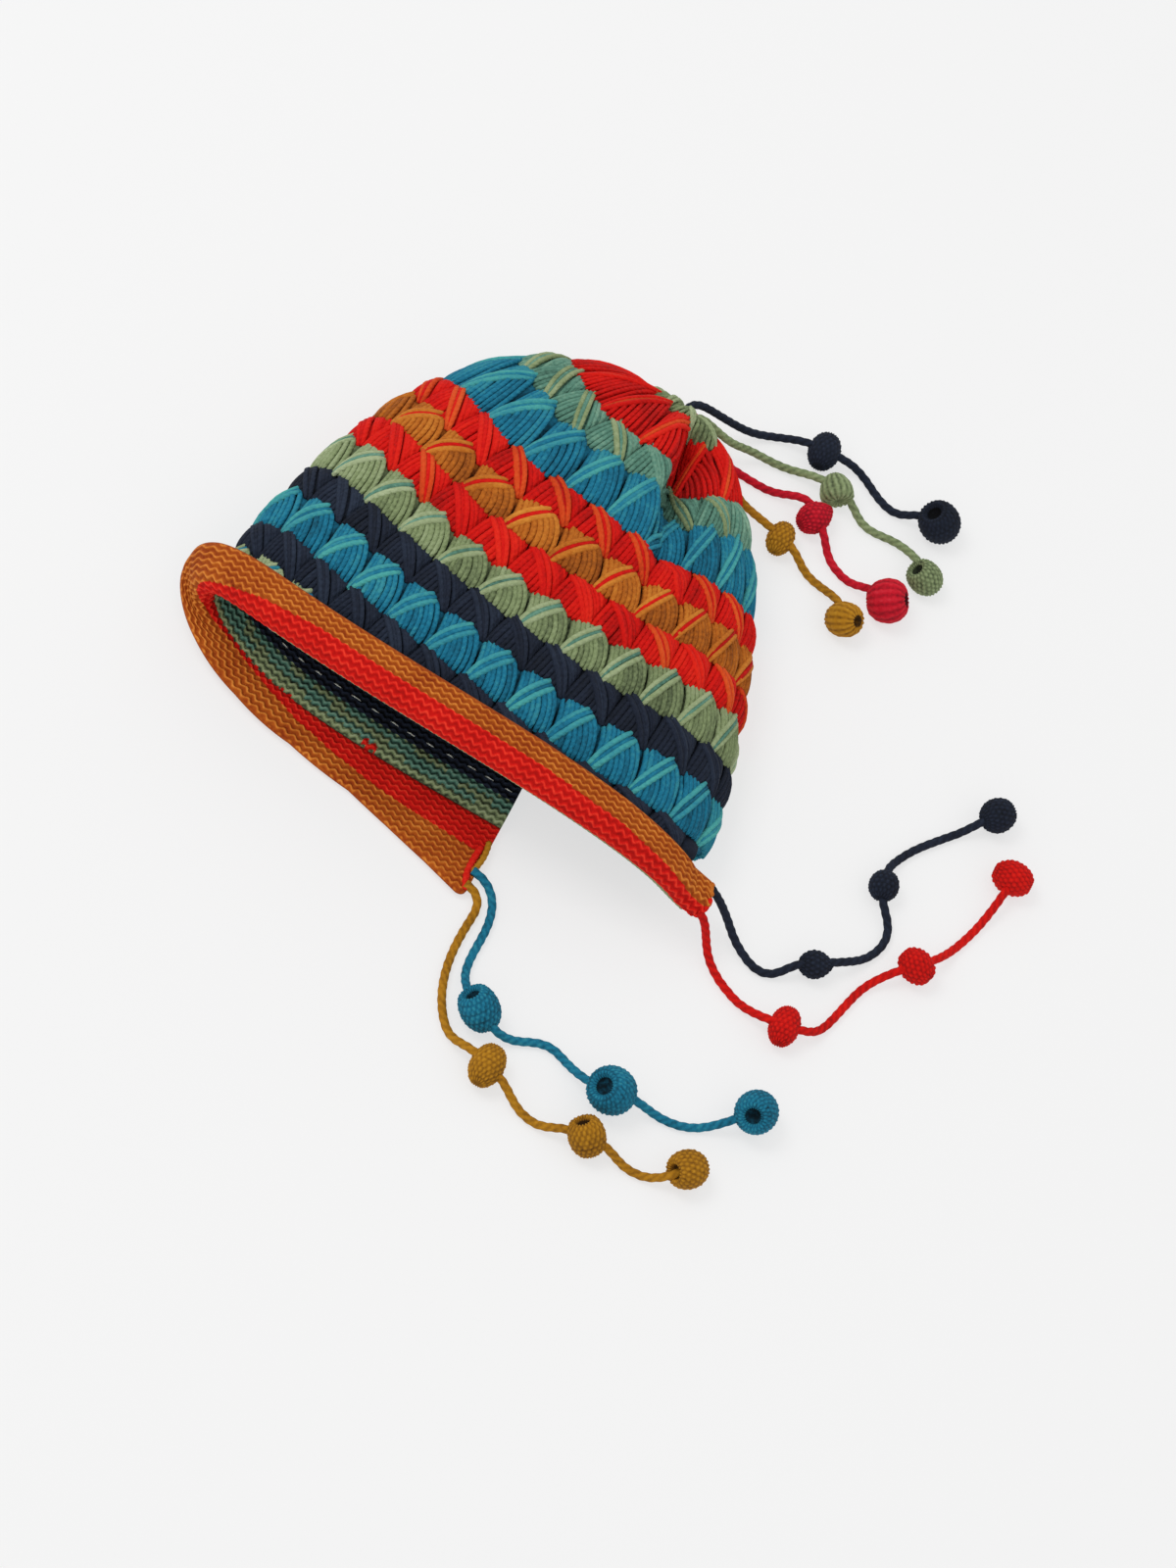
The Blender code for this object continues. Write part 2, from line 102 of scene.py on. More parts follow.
# The valley beside the gather: its line from top to low end, its depth and its two widths, as
# shares of the hat's sizes, how much painted shade darkens its puffs, and how it fades out along its line.
valley = {"topSide": 0.19, "lowSide": 0.33, "topForward": 0.96, "lowForward": 0.50,
          "depth": 0.400, "leftWidth": 0.050, "rightWidth": 0.230, "shade": 0.56,
          "fadePower": 0.6, "fadeIn": 6, "lowestRise": 0.5, "riseFade": 4}

# How far the rows are pulled towards the rim on the upper layer, in millimetres: a column a
# side share, a line a distance from the rim in millimetres.
pullSides = [-1, -0.88, -0.34, 0, 0.27, 0.42, 0.6, 0.88, 1]
pullTable = [
    (0, [0, 0, 0, 0, 0, 0, 0, 0, 0]),
    (28.5, [-5, -7, -4.5, -1, 3.5, 6, 6.5, 7.5, 4]),
    (66.5, [-2, -2.8, 0, 2.6, 4.5, 5.7, 5.5, 5, 3]),
    (84.5, [-1.5, -2, 4, 5.5, 6.5, 7, 6, 4, 2]),
    (102, [-1, -1.5, 3.5, 4, 5.5, 6.4, 5.5, 4, 2]),
    (118.5, [0, 2, 6.2, 3.5, 6, 7.3, 6, 4, 2]),
    (136.5, [1, 2.5, 6.5, 3.5, 5.5, 6.5, 5.5, 4, 2]),
    (165, [2, 5, 11, 7, 6, 13, 11, 6, 3]),
    (186, [2, 5, 11, 9, 7, 14, 12, 5, 2]),
    (210, [1, 2, 4, 2, 2, 9, 8, 3, 0]),
    (222, [0, 0, 0, 0, 0, 0, 0, 0, 0]),
]

# The rows from the rim to the tip: wool, wool of the accent strand, height, puffs in the round,
# lean (1 for combs of hanging strands, -1 for leaning blocks), warm (how many blocks have an
# accent) and warp (how much wider the puffs are on the left than on the right).
rowKeys = ("wool", "accent", "height", "puffs", "lean", "warm", "warp")
rowTable = [
    ("sage", "teal", 0.0140, 26, 1, 0, 0),
    ("navy", "navy", 0.0145, 26, -1, 0, 0),
    ("teal", "teal", 0.0195, 25, 1, 0, 0),
    ("navy", "navy", 0.0185, 25, -1, 0, 0),
    ("sage", "seaGreen", 0.0180, 24, 1, 0, 0.06),
    ("red", "orange", 0.0175, 23, -1, 0.35, 0.10),
    ("ochre", "red", 0.0165, 21, 1, 0, 0.14),
    ("red", "orange", 0.0180, 21, -1, 0.60, 0.14),
    ("teal", "teal", 0.0285, 19, 1, 0, 0.12),
    ("seaGreen", "sage", 0.0210, 16, -1, 0.80, 0.08),
    ("red", "orange", 0.0240, 12, 1, 0, 0),
    ("sage", "teal", 0.0120, 9, -1, 0, 0),
]
rows = [dict(zip(rowKeys, values)) for values in rowTable]

# The tones, from 0 dark to 1 light, of a puff's hanging, upper, binding and accent strands.
bindingTone = {"teal": 0.80, "sage": 0.72, "ochre": 0.64, "red": 0.62, "navy": 0.58, "seaGreen": 0.62}
for row in rows:
    row["tones"] = (0.46, 0.54, bindingTone[row["wool"]], 0.48)

# The notch over the forehead: places round the rim where the lowest rows stop, and how many do.
notch = {"near": 0.481, "far": 0.676, "rows": 2, "slack": 0.012}

# Each wool's dark, middle and light shade.
wools = {
    "sage": ("#3b4530", "#7f8e64", "#abb892"),
    "teal": ("#07384a", "#16718f", "#4aa29c"),
    "seaGreen": ("#2a473c", "#598674", "#94b79c"),
    "navy": ("#0c1018", "#1a2130", "#2d384a"),
    "red": ("#860402", "#cb0c05", "#e62b15"),
    "orange": ("#962c08", "#cc4012", "#e4662c"),
    "ochre": ("#68300a", "#b2631a", "#dc9438"),
    "bandOchre": ("#8a3204", "#b15a14", "#e2923c"),
    "bandRed": ("#a60500", "#ce0f06", "#ee4028"),
    "crimson": ("#7a0618", "#c00f24", "#dc3a48"),
    "mustard": ("#6a430a", "#a97414", "#c8952f"),
    "pale": ("#8a8f86", "#c4c8bd", "#e2e4dc"),
}

random = np.random.default_rng(7)


# From an sRGB hex value to linear red, green, blue and alpha.
def linear(hexValue):
    srgb = np.array([int(hexValue[i:i + 2], 16) for i in (1, 3, 5)]) / 255
    values = np.where(srgb <= 0.04045, srgb / 12.92, ((srgb + 0.055) / 1.055) ** 2.4)
    return (*values.tolist(), 1.0)


# Adds a node with its settings, its input values and its incoming links.
def addNode(tree, kind, inputs=None, **settings):
    node = tree.nodes.new(kind)
    for key, value in settings.items():
        setattr(node, key, value)
    for key, value in (inputs or {}).items():
        if isinstance(value, bpy.types.NodeSocket):
            tree.links.new(value, node.inputs[key])
        else:
            node.inputs[key].default_value = value
    return node


# The yarn, in metres: a fleck is a tuft of fibres, a patch is a stretch dyed a little unevenly,
# and a ply turns once round the strand in its pitch. Drawn about as coarse as the photo shows.
yarn = {
    "fleckSize": 0.0016,
    "fleckShare": 0.55,
    "patchSize": 0.014,
    "patchShare": 0.35,
    "plies": 3,
    "plyPitch": 0.0026,
    "relief": 0.00016,
    "roughness": 0.88,
    "ior": 1.45,
    "specular": 0.25,
    "sheen": 0.05,
    "sheenRoughness": 0.45,
    "creviceShadow": 0.22,         # the dark shade is scaled by this for painted shade in crevices
    "darkAt": 0.13,          # the tone that has the dark shade, between the crevice and the middle
}


# Sheep's wool, spun and plied. It has no gloss, a soft bright edge from its loose fibres, and
# a tone that changes from strand to strand, whose lowest values are painted shade for crevices.
# Plies are drawn by the UV map, whose V is in metres.
def wool(woolName):
    name = woolName + "Wool"
    dark, middle, light = (linear(shade) for shade in wools[woolName])
    made = bpy.data.materials.get(name)
    if made:
        return made
    material = bpy.data.materials.new(name)
    material.use_nodes = True
    tree = material.node_tree
    shader = tree.nodes["Principled BSDF"]
    for socket, key in (("Roughness", "roughness"), ("IOR", "ior"), ("Specular IOR Level", "specular"),
                        ("Sheen Weight", "sheen"), ("Sheen Roughness", "sheenRoughness")):
        shader.inputs[socket].default_value = yarn[key]
    shader.inputs["Sheen Tint"].default_value = light
    place = addNode(tree, "ShaderNodeTexCoord")
    tone = addNode(tree, "ShaderNodeAttribute", attribute_name="tone")
    fleck = addNode(tree, "ShaderNodeTexNoise",
                    {"Vector": place.outputs["Object"], "Scale": 1 / yarn["fleckSize"], "Detail": 3.0})
    spread = addNode(tree, "ShaderNodeMath", {0: fleck.outputs["Fac"], 1: 0.5}, operation="SUBTRACT")
    shift = addNode(tree, "ShaderNodeMath",
                    {0: spread.outputs[0], 1: yarn["fleckShare"], 2: tone.outputs["Fac"]},
                    operation="MULTIPLY_ADD")
    patch = addNode(tree, "ShaderNodeTexNoise",
                    {"Vector": place.outputs["Object"], "Scale": 1 / yarn["patchSize"], "Detail": 1.0})
    slow = addNode(tree, "ShaderNodeMath", {0: patch.outputs["Fac"], 1: 0.5}, operation="SUBTRACT")
    both = addNode(tree, "ShaderNodeMath",
                   {0: slow.outputs[0], 1: yarn["patchShare"], 2: shift.outputs[0]},
                   operation="MULTIPLY_ADD")
    ramp = addNode(tree, "ShaderNodeValToRGB", {"Fac": both.outputs[0]})
    # The ramp's lowest end is painted shade: tones set low in slits, furrows and holes get a darkened dark
    # shade.
    creviceShadow = [channel * yarn["creviceShadow"] for channel in dark[:3]]
    ramp.color_ramp.elements[0].color = (*creviceShadow, 1.0)
    ramp.color_ramp.elements.new(yarn["darkAt"]).color = dark
    ramp.color_ramp.elements[-1].color = light
    ramp.color_ramp.elements.new(0.5).color = middle
    tree.links.new(ramp.outputs["Color"], shader.inputs["Base Color"])
    uv = addNode(tree, "ShaderNodeUVMap", uv_map="strand")
    waveLength = 10 / (2 * math.pi)   # one stripe of the wave texture
    scale = (yarn["plies"] / waveLength, 1 / waveLength / yarn["plyPitch"], 0)
    turned = addNode(tree, "ShaderNodeMapping", {"Vector": uv.outputs["UV"], "Scale": scale})
    ply = addNode(tree, "ShaderNodeTexWave", {"Vector": turned.outputs["Vector"], "Scale": 1.0},
                  wave_type="BANDS", bands_direction="DIAGONAL", wave_profile="SIN")
    grain = addNode(tree, "ShaderNodeMath",
                    {0: fleck.outputs["Fac"], 1: 0.5, 2: ply.outputs["Fac"]}, operation="MULTIPLY_ADD")
    bump = addNode(tree, "ShaderNodeBump",
                   {"Height": grain.outputs[0], "Distance": yarn["relief"], "Strength": 0.9})
    tree.links.new(bump.outputs["Normal"], shader.inputs["Normal"])
    return material


# A mesh piece from points, faces, one material number a face, a tone a point and a UV pair a
# corner, at the origin, shaded smooth, on the hat's body.
def addPiece(name, points, faces, materials, numbers, tone, uvs=None):
    mesh = bpy.data.meshes.new(name)
    mesh.from_pydata(points.tolist(), [], faces)
    for material in materials:
        mesh.materials.append(material)
    mesh.polygons.foreach_set("material_index", np.asarray(numbers, np.int32))
    mesh.polygons.foreach_set("use_smooth", np.ones(len(faces), bool))
    mesh.attributes.new("tone", "FLOAT", "POINT").data.foreach_set("value", tone.astype(np.float32))
    if uvs is not None:
        mesh.uv_layers.new(name="strand").data.foreach_set("uv", uvs.astype(np.float32).ravel())
    mesh.update()
    piece = bpy.data.objects.new(name, mesh)
    bpy.context.scene.collection.objects.link(piece)
    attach(piece, "root")
    return piece


# Faces of a grid of columns by rings, closed round the columns if asked. Each quad goes to the
# next column first, so it faces the way of cross(column step, ring step).
def gridFaces(columns, rings, closed):
    i, j = np.meshgrid(np.arange(columns if closed else columns - 1), np.arange(rings - 1),
                       indexing="ij")
    after = (i + 1) % columns
    quads = np.stack([i * rings + j, after * rings + j, after * rings + j + 1, i * rings + j + 1], -1)
    return quads.reshape(-1, 4)


# Faces of a closed ribbon of columns by rings, with a face over each end.
def ribbonFaces(columns, rings):
    first = (np.arange(columns)[::-1] * rings).tolist()
    last = (np.arange(columns) * rings + rings - 1).tolist()
    return gridFaces(columns, rings, True).tolist() + [first, last]


# A cubic Bezier curve through four control values, at shares t.
def bezier(a, b, c, d, t):
    return (1 - t) ** 3 * a + 3 * (1 - t) ** 2 * t * b + 3 * (1 - t) * t ** 2 * c + t ** 3 * d


# Vectors made one long.
def unit(vectors):
    return vectors / np.maximum(np.linalg.norm(vectors, axis=-1, keepdims=True), 1e-12)


# The way along a line of points from its start, at each of its points.
def wayAlong(points):
    return np.concatenate(([0], np.cumsum(np.linalg.norm(np.diff(points, axis=0), axis=1))))


# Keeps heights above the table: below a softness, a height decays towards zero.
def aboveTable(points, softness=0.0006):
    low = points[..., 2] < softness
    points[..., 2] = np.where(low, softness * np.exp(np.minimum(points[..., 2] / softness - 1, 0)),
                              points[..., 2])
    return points


# The folded section: side share from -1 to 1 and rise share, at an angle from the left fold
# over the upper layer first.
def sectionAt(angle):
    side = -np.cos(angle)
    wave = np.abs(np.sin(angle))
    rise = fold["leftRise"] * (1 - side) / 2 + fold["rightRise"] * (1 + side) / 2
    upper = rise + (1 - rise) * wave ** fold["upperPower"]
    under = rise * (1 - wave ** fold["underPower"])
    return side, np.where(np.sin(angle) >= 0, upper, under)


# Angles at places round the section from 0 to 1, measured along its real length.
def sectionAngles(places):
    angle = np.linspace(0, 2 * math.pi, fineness["section"])
    side, rise = sectionAt(angle)
    steps = np.hypot(np.diff(side) * hat["halfWidth"], np.diff(rise) * hat["arch"])
    way = np.concatenate(([0], np.cumsum(steps)))
    return np.interp(np.mod(places, 1) * way[-1], way, angle)


# Four points of the curve from rim to tip at each angle.
def curvePoints(angle):
    side, rise = sectionAt(angle)
    wave = np.abs(np.sin(angle))
    left = (1 - side) / 2
    over = np.sin(angle) >= 0
    upperRim, underRim = (
        layer["middle"] + (layer["left"] - layer["middle"]) * left ** layer["leftPower"]
        + (layer["right"] - layer["middle"]) * (1 - left) ** rim["rightPower"]
        for layer in (rim["upper"], rim["under"]))
    blend = np.clip(0.5 + 2 * np.sin(angle), 0, 1)
    edge = (underRim + (upperRim - underRim) * blend) * hat["height"]
    reach = left + rim["rightSide"] * (1 - left)
    curve = [np.stack([side * reach * hat["halfWidth"], edge, rise * rim["rise"] * hat["arch"]], -1)]
    for row in handles:
        reach = row["leftSide"] * left + row["rightSide"] * (1 - left)
        folds = row["leftForward"] * left + row["rightForward"] * (1 - left)
        middle = np.where(over, row["upperForward"], row["underForward"])
        mean = (row["leftForward"] + row["rightForward"]) / 2
        forward = folds + (middle - mean) * wave ** 1.5
        height = row["underRise"] + (row["upperRise"] - row["underRise"]) * rise
        curve.append(np.stack([side * reach * hat["halfWidth"], forward * hat["height"],
                               height * hat["arch"]], -1))
    curve.append(np.stack([tip["side"] * hat["halfWidth"] + hat["gather"] * side,
                           np.full_like(side, hat["height"]),
                           tip["rise"] * hat["arch"] + hat["gather"] * np.sin(angle)], -1))
    return curve


# Depth of the valley beside the gather: a bell across its line, on the upper layer.
def valleyDepth(points):
    forward = points[..., 1] / hat["height"]
    along = (valley["topForward"] - forward) / (valley["topForward"] - valley["lowForward"])
    line = valley["topSide"] + (valley["lowSide"] - valley["topSide"]) * along
    across = (points[..., 0] - line * hat["halfWidth"]) / hat["arch"]
    across = across / np.where(across < 0, valley["leftWidth"], valley["rightWidth"])
    fade = np.clip(1 - along, 0, 1) ** valley["fadePower"] * np.clip(along * valley["fadeIn"], 0, 1)
    fade *= np.clip((points[..., 2] / hat["arch"] - valley["lowestRise"]) * valley["riseFade"], 0, 1)
    return valley["depth"] * hat["arch"] * np.exp(-across ** 2) * fade


rowHeights = np.array([row["height"] for row in rows])
borders = np.concatenate(([0], np.cumsum(rowHeights)))
crownLength = borders[-1]


# The pull of the rows at each angle and distance: read between the table's columns by the side
# share, then between its lines by the distance, and faded out under the folds.
def rowPull(angle, distance):
    levels = np.array([level for level, _ in pullTable]) / 1000
    columns = np.array([[np.interp(-math.cos(turn), pullSides, pulls) for _, pulls in pullTable]
                        for turn in angle]) / 1000
    over = np.clip(0.5 + 4 * np.sin(angle), 0, 1)
    return np.array([over[i] * np.interp(distance, levels, columns[i]) for i in range(len(angle))])


# Points of the crown's smooth outer surface at each angle and each distance from the rim.
def crownSurface(angle, distance):
    share = np.linspace(0, 1, fineness["curve"])[None, :, None]
    a, b, c, d = (point[:, None, :] for point in curvePoints(angle))
    curve = bezier(a, b, c, d, share)
    steps = np.linalg.norm(np.diff(curve, axis=1), axis=2)
    way = np.concatenate([np.zeros((len(angle), 1)), np.cumsum(steps, axis=1)], axis=1)
    tuck = hat["tuck"] * np.maximum(np.sin(angle), 0)[:, None] ** 3
    extra = way[:, -1:] - crownLength + tuck
    wanted = (distance - tuck * np.minimum(distance / rowHeights[0], 1)
              + extra * (distance / crownLength) ** 2 - rowPull(angle, distance))
    out = np.stack([[np.interp(wanted[i], way[i], curve[i, :, axis]) for i in range(len(angle))]
                    for axis in range(3)], -1)
    out[..., 2] -= valleyDepth(out)
    return out


# The surface and its outward normals, once, on a fine grid that other functions read between.
surface = crownSurface(sectionAngles(np.arange(fineness["round"]) / fineness["round"]),
                       np.linspace(0, crownLength, fineness["up"]))
clearance = hat["tableClearance"]
surface[..., 2] = np.where(surface[..., 2] > clearance * 2, surface[..., 2],
                           clearance + np.maximum(surface[..., 2], 0) ** 2 / (4 * clearance))
roundStep = np.roll(surface, -1, axis=0) - np.roll(surface, 1, axis=0)
normals = unit(np.cross(roundStep, np.gradient(surface, axis=1)))
surface = np.concatenate([surface, surface[:1]])
normals = np.concatenate([normals, normals[:1]])
print("form worked out")


# Point and outward normal on the crown at places round it and distances from the rim, read
# between the grid's four nearest points.
def onCrown(place, distance):
    column = np.mod(place, 1) * fineness["round"]
    ring = np.clip(distance / crownLength, 0, 1) * (fineness["up"] - 1)
    i = np.minimum(column.astype(int), fineness["round"] - 1)
    j = np.minimum(ring.astype(int), fineness["up"] - 2)
    a = (column - i)[..., None]
    b = (ring - j)[..., None]
    point, normal = (
        (grid[i, j] * (1 - a) + grid[i + 1, j] * a) * (1 - b)
        + (grid[i, j + 1] * (1 - a) + grid[i + 1, j + 1] * a) * b
        for grid in (surface, normals))
    return point, unit(normal)


# From the hat's own frame to the scene's.
def toScene(points):
    return points + np.array([hat["axisX"], hat["rimLineY"], 0])


# Faces of one round strand of rings by sides, and the caps from its end rings to its two poles,
# which are its last two points.
def strandFaces(rings, sides):
    k = np.arange(sides)
    after = (k + 1) % sides
    ring = np.arange(rings - 1)[:, None] * sides
    quads = np.stack([ring + k, ring + after, ring + sides + after, ring + sides + k], -1)
    last = (rings - 1) * sides
    pole = rings * sides
    start = np.stack([after, k, np.full(sides, pole)], -1)
    end = np.stack([last + k, last + after, np.full(sides, pole + 1)], -1)
    return quads.reshape(-1, 4), np.concatenate([start, end])


# How far a strand's poles stand past its ends, as a share of its radius.
poleShare = 0.6


# Round strands along centre lines: a point is the line's point plus the radius times the cosine
# of its turn sideways and the sine of its turn along the normal. A pole closes each end. In the
# UVs, U goes once round the strand and V is the way along it in metres.
def strandMesh(centres, normalsAlong, radii, sides):
    count, length = centres.shape[:2]
    tangent = unit(np.gradient(centres, axis=1))
    side = unit(np.cross(tangent, normalsAlong))
    up = np.cross(side, tangent)
    turn = np.arange(sides) * 2 * math.pi / sides
    ring = np.cos(turn)[:, None] * side[:, :, None, :] + np.sin(turn)[:, None] * up[:, :, None, :]
    rings = centres[:, :, None, :] + ring * radii[:, :, None, None]
    poles = np.stack([centres[:, 0] - tangent[:, 0] * radii[:, 0, None] * poleShare,
                      centres[:, -1] + tangent[:, -1] * radii[:, -1, None] * poleShare], 1)
    points = np.concatenate([rings.reshape(count, -1, 3), poles], 1)
    quads, caps = strandFaces(length, sides)
    offset = (np.arange(count) * points.shape[1])[:, None, None]
    faces = (quads + offset).reshape(-1, 4).tolist() + (caps + offset).reshape(-1, 3).tolist()
    steps = np.linalg.norm(np.diff(centres, axis=1), axis=2)
    way = np.concatenate([np.zeros((count, 1)), np.cumsum(steps, axis=1)], axis=1)
    k = np.arange(sides)
    u = np.stack([k, k + 1, k + 1, k], -1) / sides
    quadU = np.broadcast_to(u, (count, length - 1, sides, 4))
    v0, v1 = way[:, :-1, None], way[:, 1:, None]
    quadV = np.stack([v0, v0, v1, v1], -1) * np.ones((1, 1, sides, 1))
    capU = np.broadcast_to(np.stack([k, k + 1, k + 0.5], -1) / sides, (count, 2, sides, 3))
    capV = np.stack([np.broadcast_to(way[:, :1, None], (count, sides, 3)),
                     np.broadcast_to(way[:, -1:, None], (count, sides, 3))], 1)
    uvs = np.concatenate([np.stack([quadU, quadV], -1).reshape(-1, 2),
                          np.stack([capU, capV], -1).reshape(-1, 2)])
    return points, faces, uvs


# One piece of strands. Each strand has a material number and a tone, or a tone a point.
def addStrands(name, centres, normalsAlong, radii, materials, numbers, tones, sides):
    points, faces, uvs = strandMesh(centres, normalsAlong, radii, sides)
    count, length = centres.shape[:2]
    tones = np.broadcast_to(tones[:, None] if tones.ndim == 1 else tones, (count, length))
    tone = np.concatenate([np.repeat(tones, sides, axis=1), tones[:, :1], tones[:, -1:]], 1)
    numbers = np.asarray(numbers)
    faceNumbers = np.concatenate([np.repeat(numbers, (length - 1) * sides),
                                  np.repeat(numbers, 2 * sides)])
    points = aboveTable(points.reshape(-1, 3))
    return addPiece(name, toScene(points), faces, materials, faceNumbers, tone.ravel(), uvs)


# What a puff looks like: in cell shares, u across and v up from the row's lower border.
puff = {
    "fan": 9,                # strands that hang from the binding of a comb
    "slants": 9,             # strands below the binding of a leaning block
    "uppers": 6,             # short strands above the binding
    "points": 9,             # points along a strand
    "sides": 5,
    "fullWidth": 0.0150,     # a cell this wide has all its strands, a narrower one fewer
    "dome": 0.0032,          # how far the middle of a puff stands above its edges
    "sunk": -0.0013,         # where its edges lie
    "combLevel": 0.60,       # share of the dome that is left at a comb's ends
    "blockLevel": 0.30,      # the same at the borders of a leaning block
    "flatAcross": 3.4,       # powers that flatten the dome across and up, and steepen its sides
    "flatUp": 2.4,
    "steep": 0.7,
    "bindingLift": 0.0008,
    "accentSunk": 0.0002,    # how much lower the middle strand of a binding lies
    "fullness": 1.30,        # strand width as a share of the spacing
    "bindingWidth": 1.04,
    "taper": 0.30,           # how much thinner a strand is at its ends
    "jitter": 0.012,         # the wobble of a strand, of a puff and of a strand's height
    "sway": 0.03,
    "liftJitter": 0.00015,
    "puffTone": 0.06,        # the spread of tones from puff to puff and from strand to strand
    "strandTone": 0.05,
    "accentShade": 0.06,     # how much darker an accent on a block is
    "lean": 0.10,            # how far a block's top leans to the right
    "overlap": 0.0010,       # how far a comb of ends reaches over the next row
    "widest": 0.17,          # the place where the upper layer's puffs are widest
    "gap": 0.975,            # share of a cell that its puff fills
}

# The motif of each kind of puff. Its binding is a Bezier curve, with four points across and up,
# whose strands lie apart and close up to a share towards its lower end. Strands hang from it to
# a place on the lower border, and upper ones go between two more: a pair is the place of the
# first strand and how much further the last one is. The width is the share strands take up.
motifs = {
    "comb": {"across": (0.03, 0.16, 0.38, 0.63), "up": (-0.04, 0.38, 0.73, 1.03), "apart": 0.084,
             "closed": 0.45, "spread": 1.6, "hangFrom": (0.14, 0.84), "hangTo": (0.11, 0.86),
             "upperFrom": (-0.03, 0.51), "upperTo": (0.24, 0.68), "width": 0.87},
    "block": {"across": (0.12, 0.44, 0.74, 0.99), "up": (1.03, 0.80, 0.43, -0.03), "apart": 0.086,
              "closed": 0.45, "spread": 1.3, "hangFrom": (0.02, 0.80), "hangTo": (0.02, 0.84),
              "upperFrom": (0.42, 0.52), "upperTo": (0.22, 0.50), "width": 0.84},
}

# The kinds of strands.
hangingKind, upperKind, bindingKind, accentKind = range(4)


# Height of a puff's pillow: a flattened dome across the cell times a flattened dome up it, of
# which a share stays at the row's borders.
def pillow(u, v, borderLevel):
    across = (1 - np.abs(2 * np.clip(u, 0, 1) - 1) ** puff["flatAcross"]) ** puff["steep"]
    level = 1 - np.abs(2 * np.clip(v, 0, 1) - 1) ** puff["flatUp"]
    return puff["sunk"] + puff["dome"] * across * (borderLevel + (1 - borderLevel) * level)


# The place at a share of the way through a pair.
def at(pair, share):
    return pair[0] + pair[1] * share


# The point at a share of a motif's binding.
def onBinding(motif, share):
    return np.stack([bezier(*motif["across"], share), bezier(*motif["up"], share)], -1)


# The three strands of a binding: its curve, and the curve moved square to itself both ways by
# an even distance that shrinks towards the lower end.
def bindingLines(motif, fromLowEnd, t):
    along = onBinding(motif, t)
    tangent = unit(np.gradient(along, axis=0))
    across = np.stack([tangent[:, 1], -tangent[:, 0]], -1)
    spread = np.minimum(1, motif["closed"] + motif["spread"] * fromLowEnd)[:, None]
    return [along + across * side * motif["apart"] * spread for side in (-1, 0, 1)]


bindingKinds = [bindingKind, accentKind, bindingKind]


# Centre lines of a comb puff in (u, v), with a kind each. The binding runs from the lower left
# corner to the upper middle. The hanging strands leave it sideways and turn down, the upper
# ones stand above it.
def combLines(hanging, uppers):
    motif = motifs["comb"]
    t = np.linspace(0, 1, puff["points"])
    lines = []
    for share in np.linspace(0, 1, hanging):
        start = onBinding(motif, at(motif["hangFrom"], share))
        end = np.array([at(motif["hangTo"], share), -0.02 + 0.04 * abs(share - 0.5)])
        first = start + [0.46 * (end[0] - start[0]) + 0.03, 0.02 - 0.08 * share]
        second = end + [0.04 * share, 0.50 * (start[1] - end[1])]
        lines.append(bezier(start, first, second, end, t[:, None]))
    for share in np.linspace(0, 1, uppers):
        top = np.array([at(motif["upperFrom"], share), 1.05 - 0.01 * share])
        low = onBinding(motif, at(motif["upperTo"], share)) + [-0.03, 0.03]
        bow = np.stack([0.03 * (1 - share) * np.sin(np.pi * t), 0 * t], -1)
        lines.append(top + (low - top) * t[:, None] + bow)
    lines += bindingLines(motif, t, t)
    return np.array(lines), np.array([hangingKind] * hanging + [upperKind] * uppers + bindingKinds)


# Centre lines of a leaning block: the binding bows from the top left to the bottom right corner,
# strands below it hang to the bottom border, strands above it run beside it.
def blockLines(slants, uppers):
    motif = motifs["block"]
    t = np.linspace(0, 1, puff["points"])
    lines = []

    def addBowed(start, end, bow):
        third = (end - start) / 3
        lines.append(bezier(start, start + third + bow, start + 2 * third + bow, end, t[:, None]))

    for share in np.linspace(0, 1, slants):
        start = onBinding(motif, at(motif["hangFrom"], share))
        end = np.array([at(motif["hangTo"], share), -0.03])
        addBowed(start, end, np.array([0.05 * share, 0]))
    for share in np.linspace(0, 1, uppers):
        start = np.array([at(motif["upperFrom"], share), 1.03])
        end = np.array([1.03 - 0.02 * share, at(motif["upperTo"], share)])
        addBowed(start, end, np.array([0.10 * (1 - share), 0.06]))
    lines += bindingLines(motif, 1 - t, t)
    return np.array(lines), np.array([hangingKind] * slants + [upperKind] * uppers + bindingKinds)


# From even shares round a row to places round the crown: a sine widens the puffs on the left of
# each layer and narrows them on the right.
def warped(share, warp):
    return share + warp * np.sin(4 * math.pi * (share - puff["widest"])) / (4 * math.pi)


# The cells of a row that are there: two rows stop at the notch.
def cellsOf(number):
    count = rows[number]["puffs"]
    cells = np.arange(count)
    if number < notch["rows"]:
        before = (cells + 1) / count <= notch["near"] + notch["slack"]
        beyond = cells / count >= notch["far"] - notch["slack"]
        cells = cells[before | beyond]
    return cells


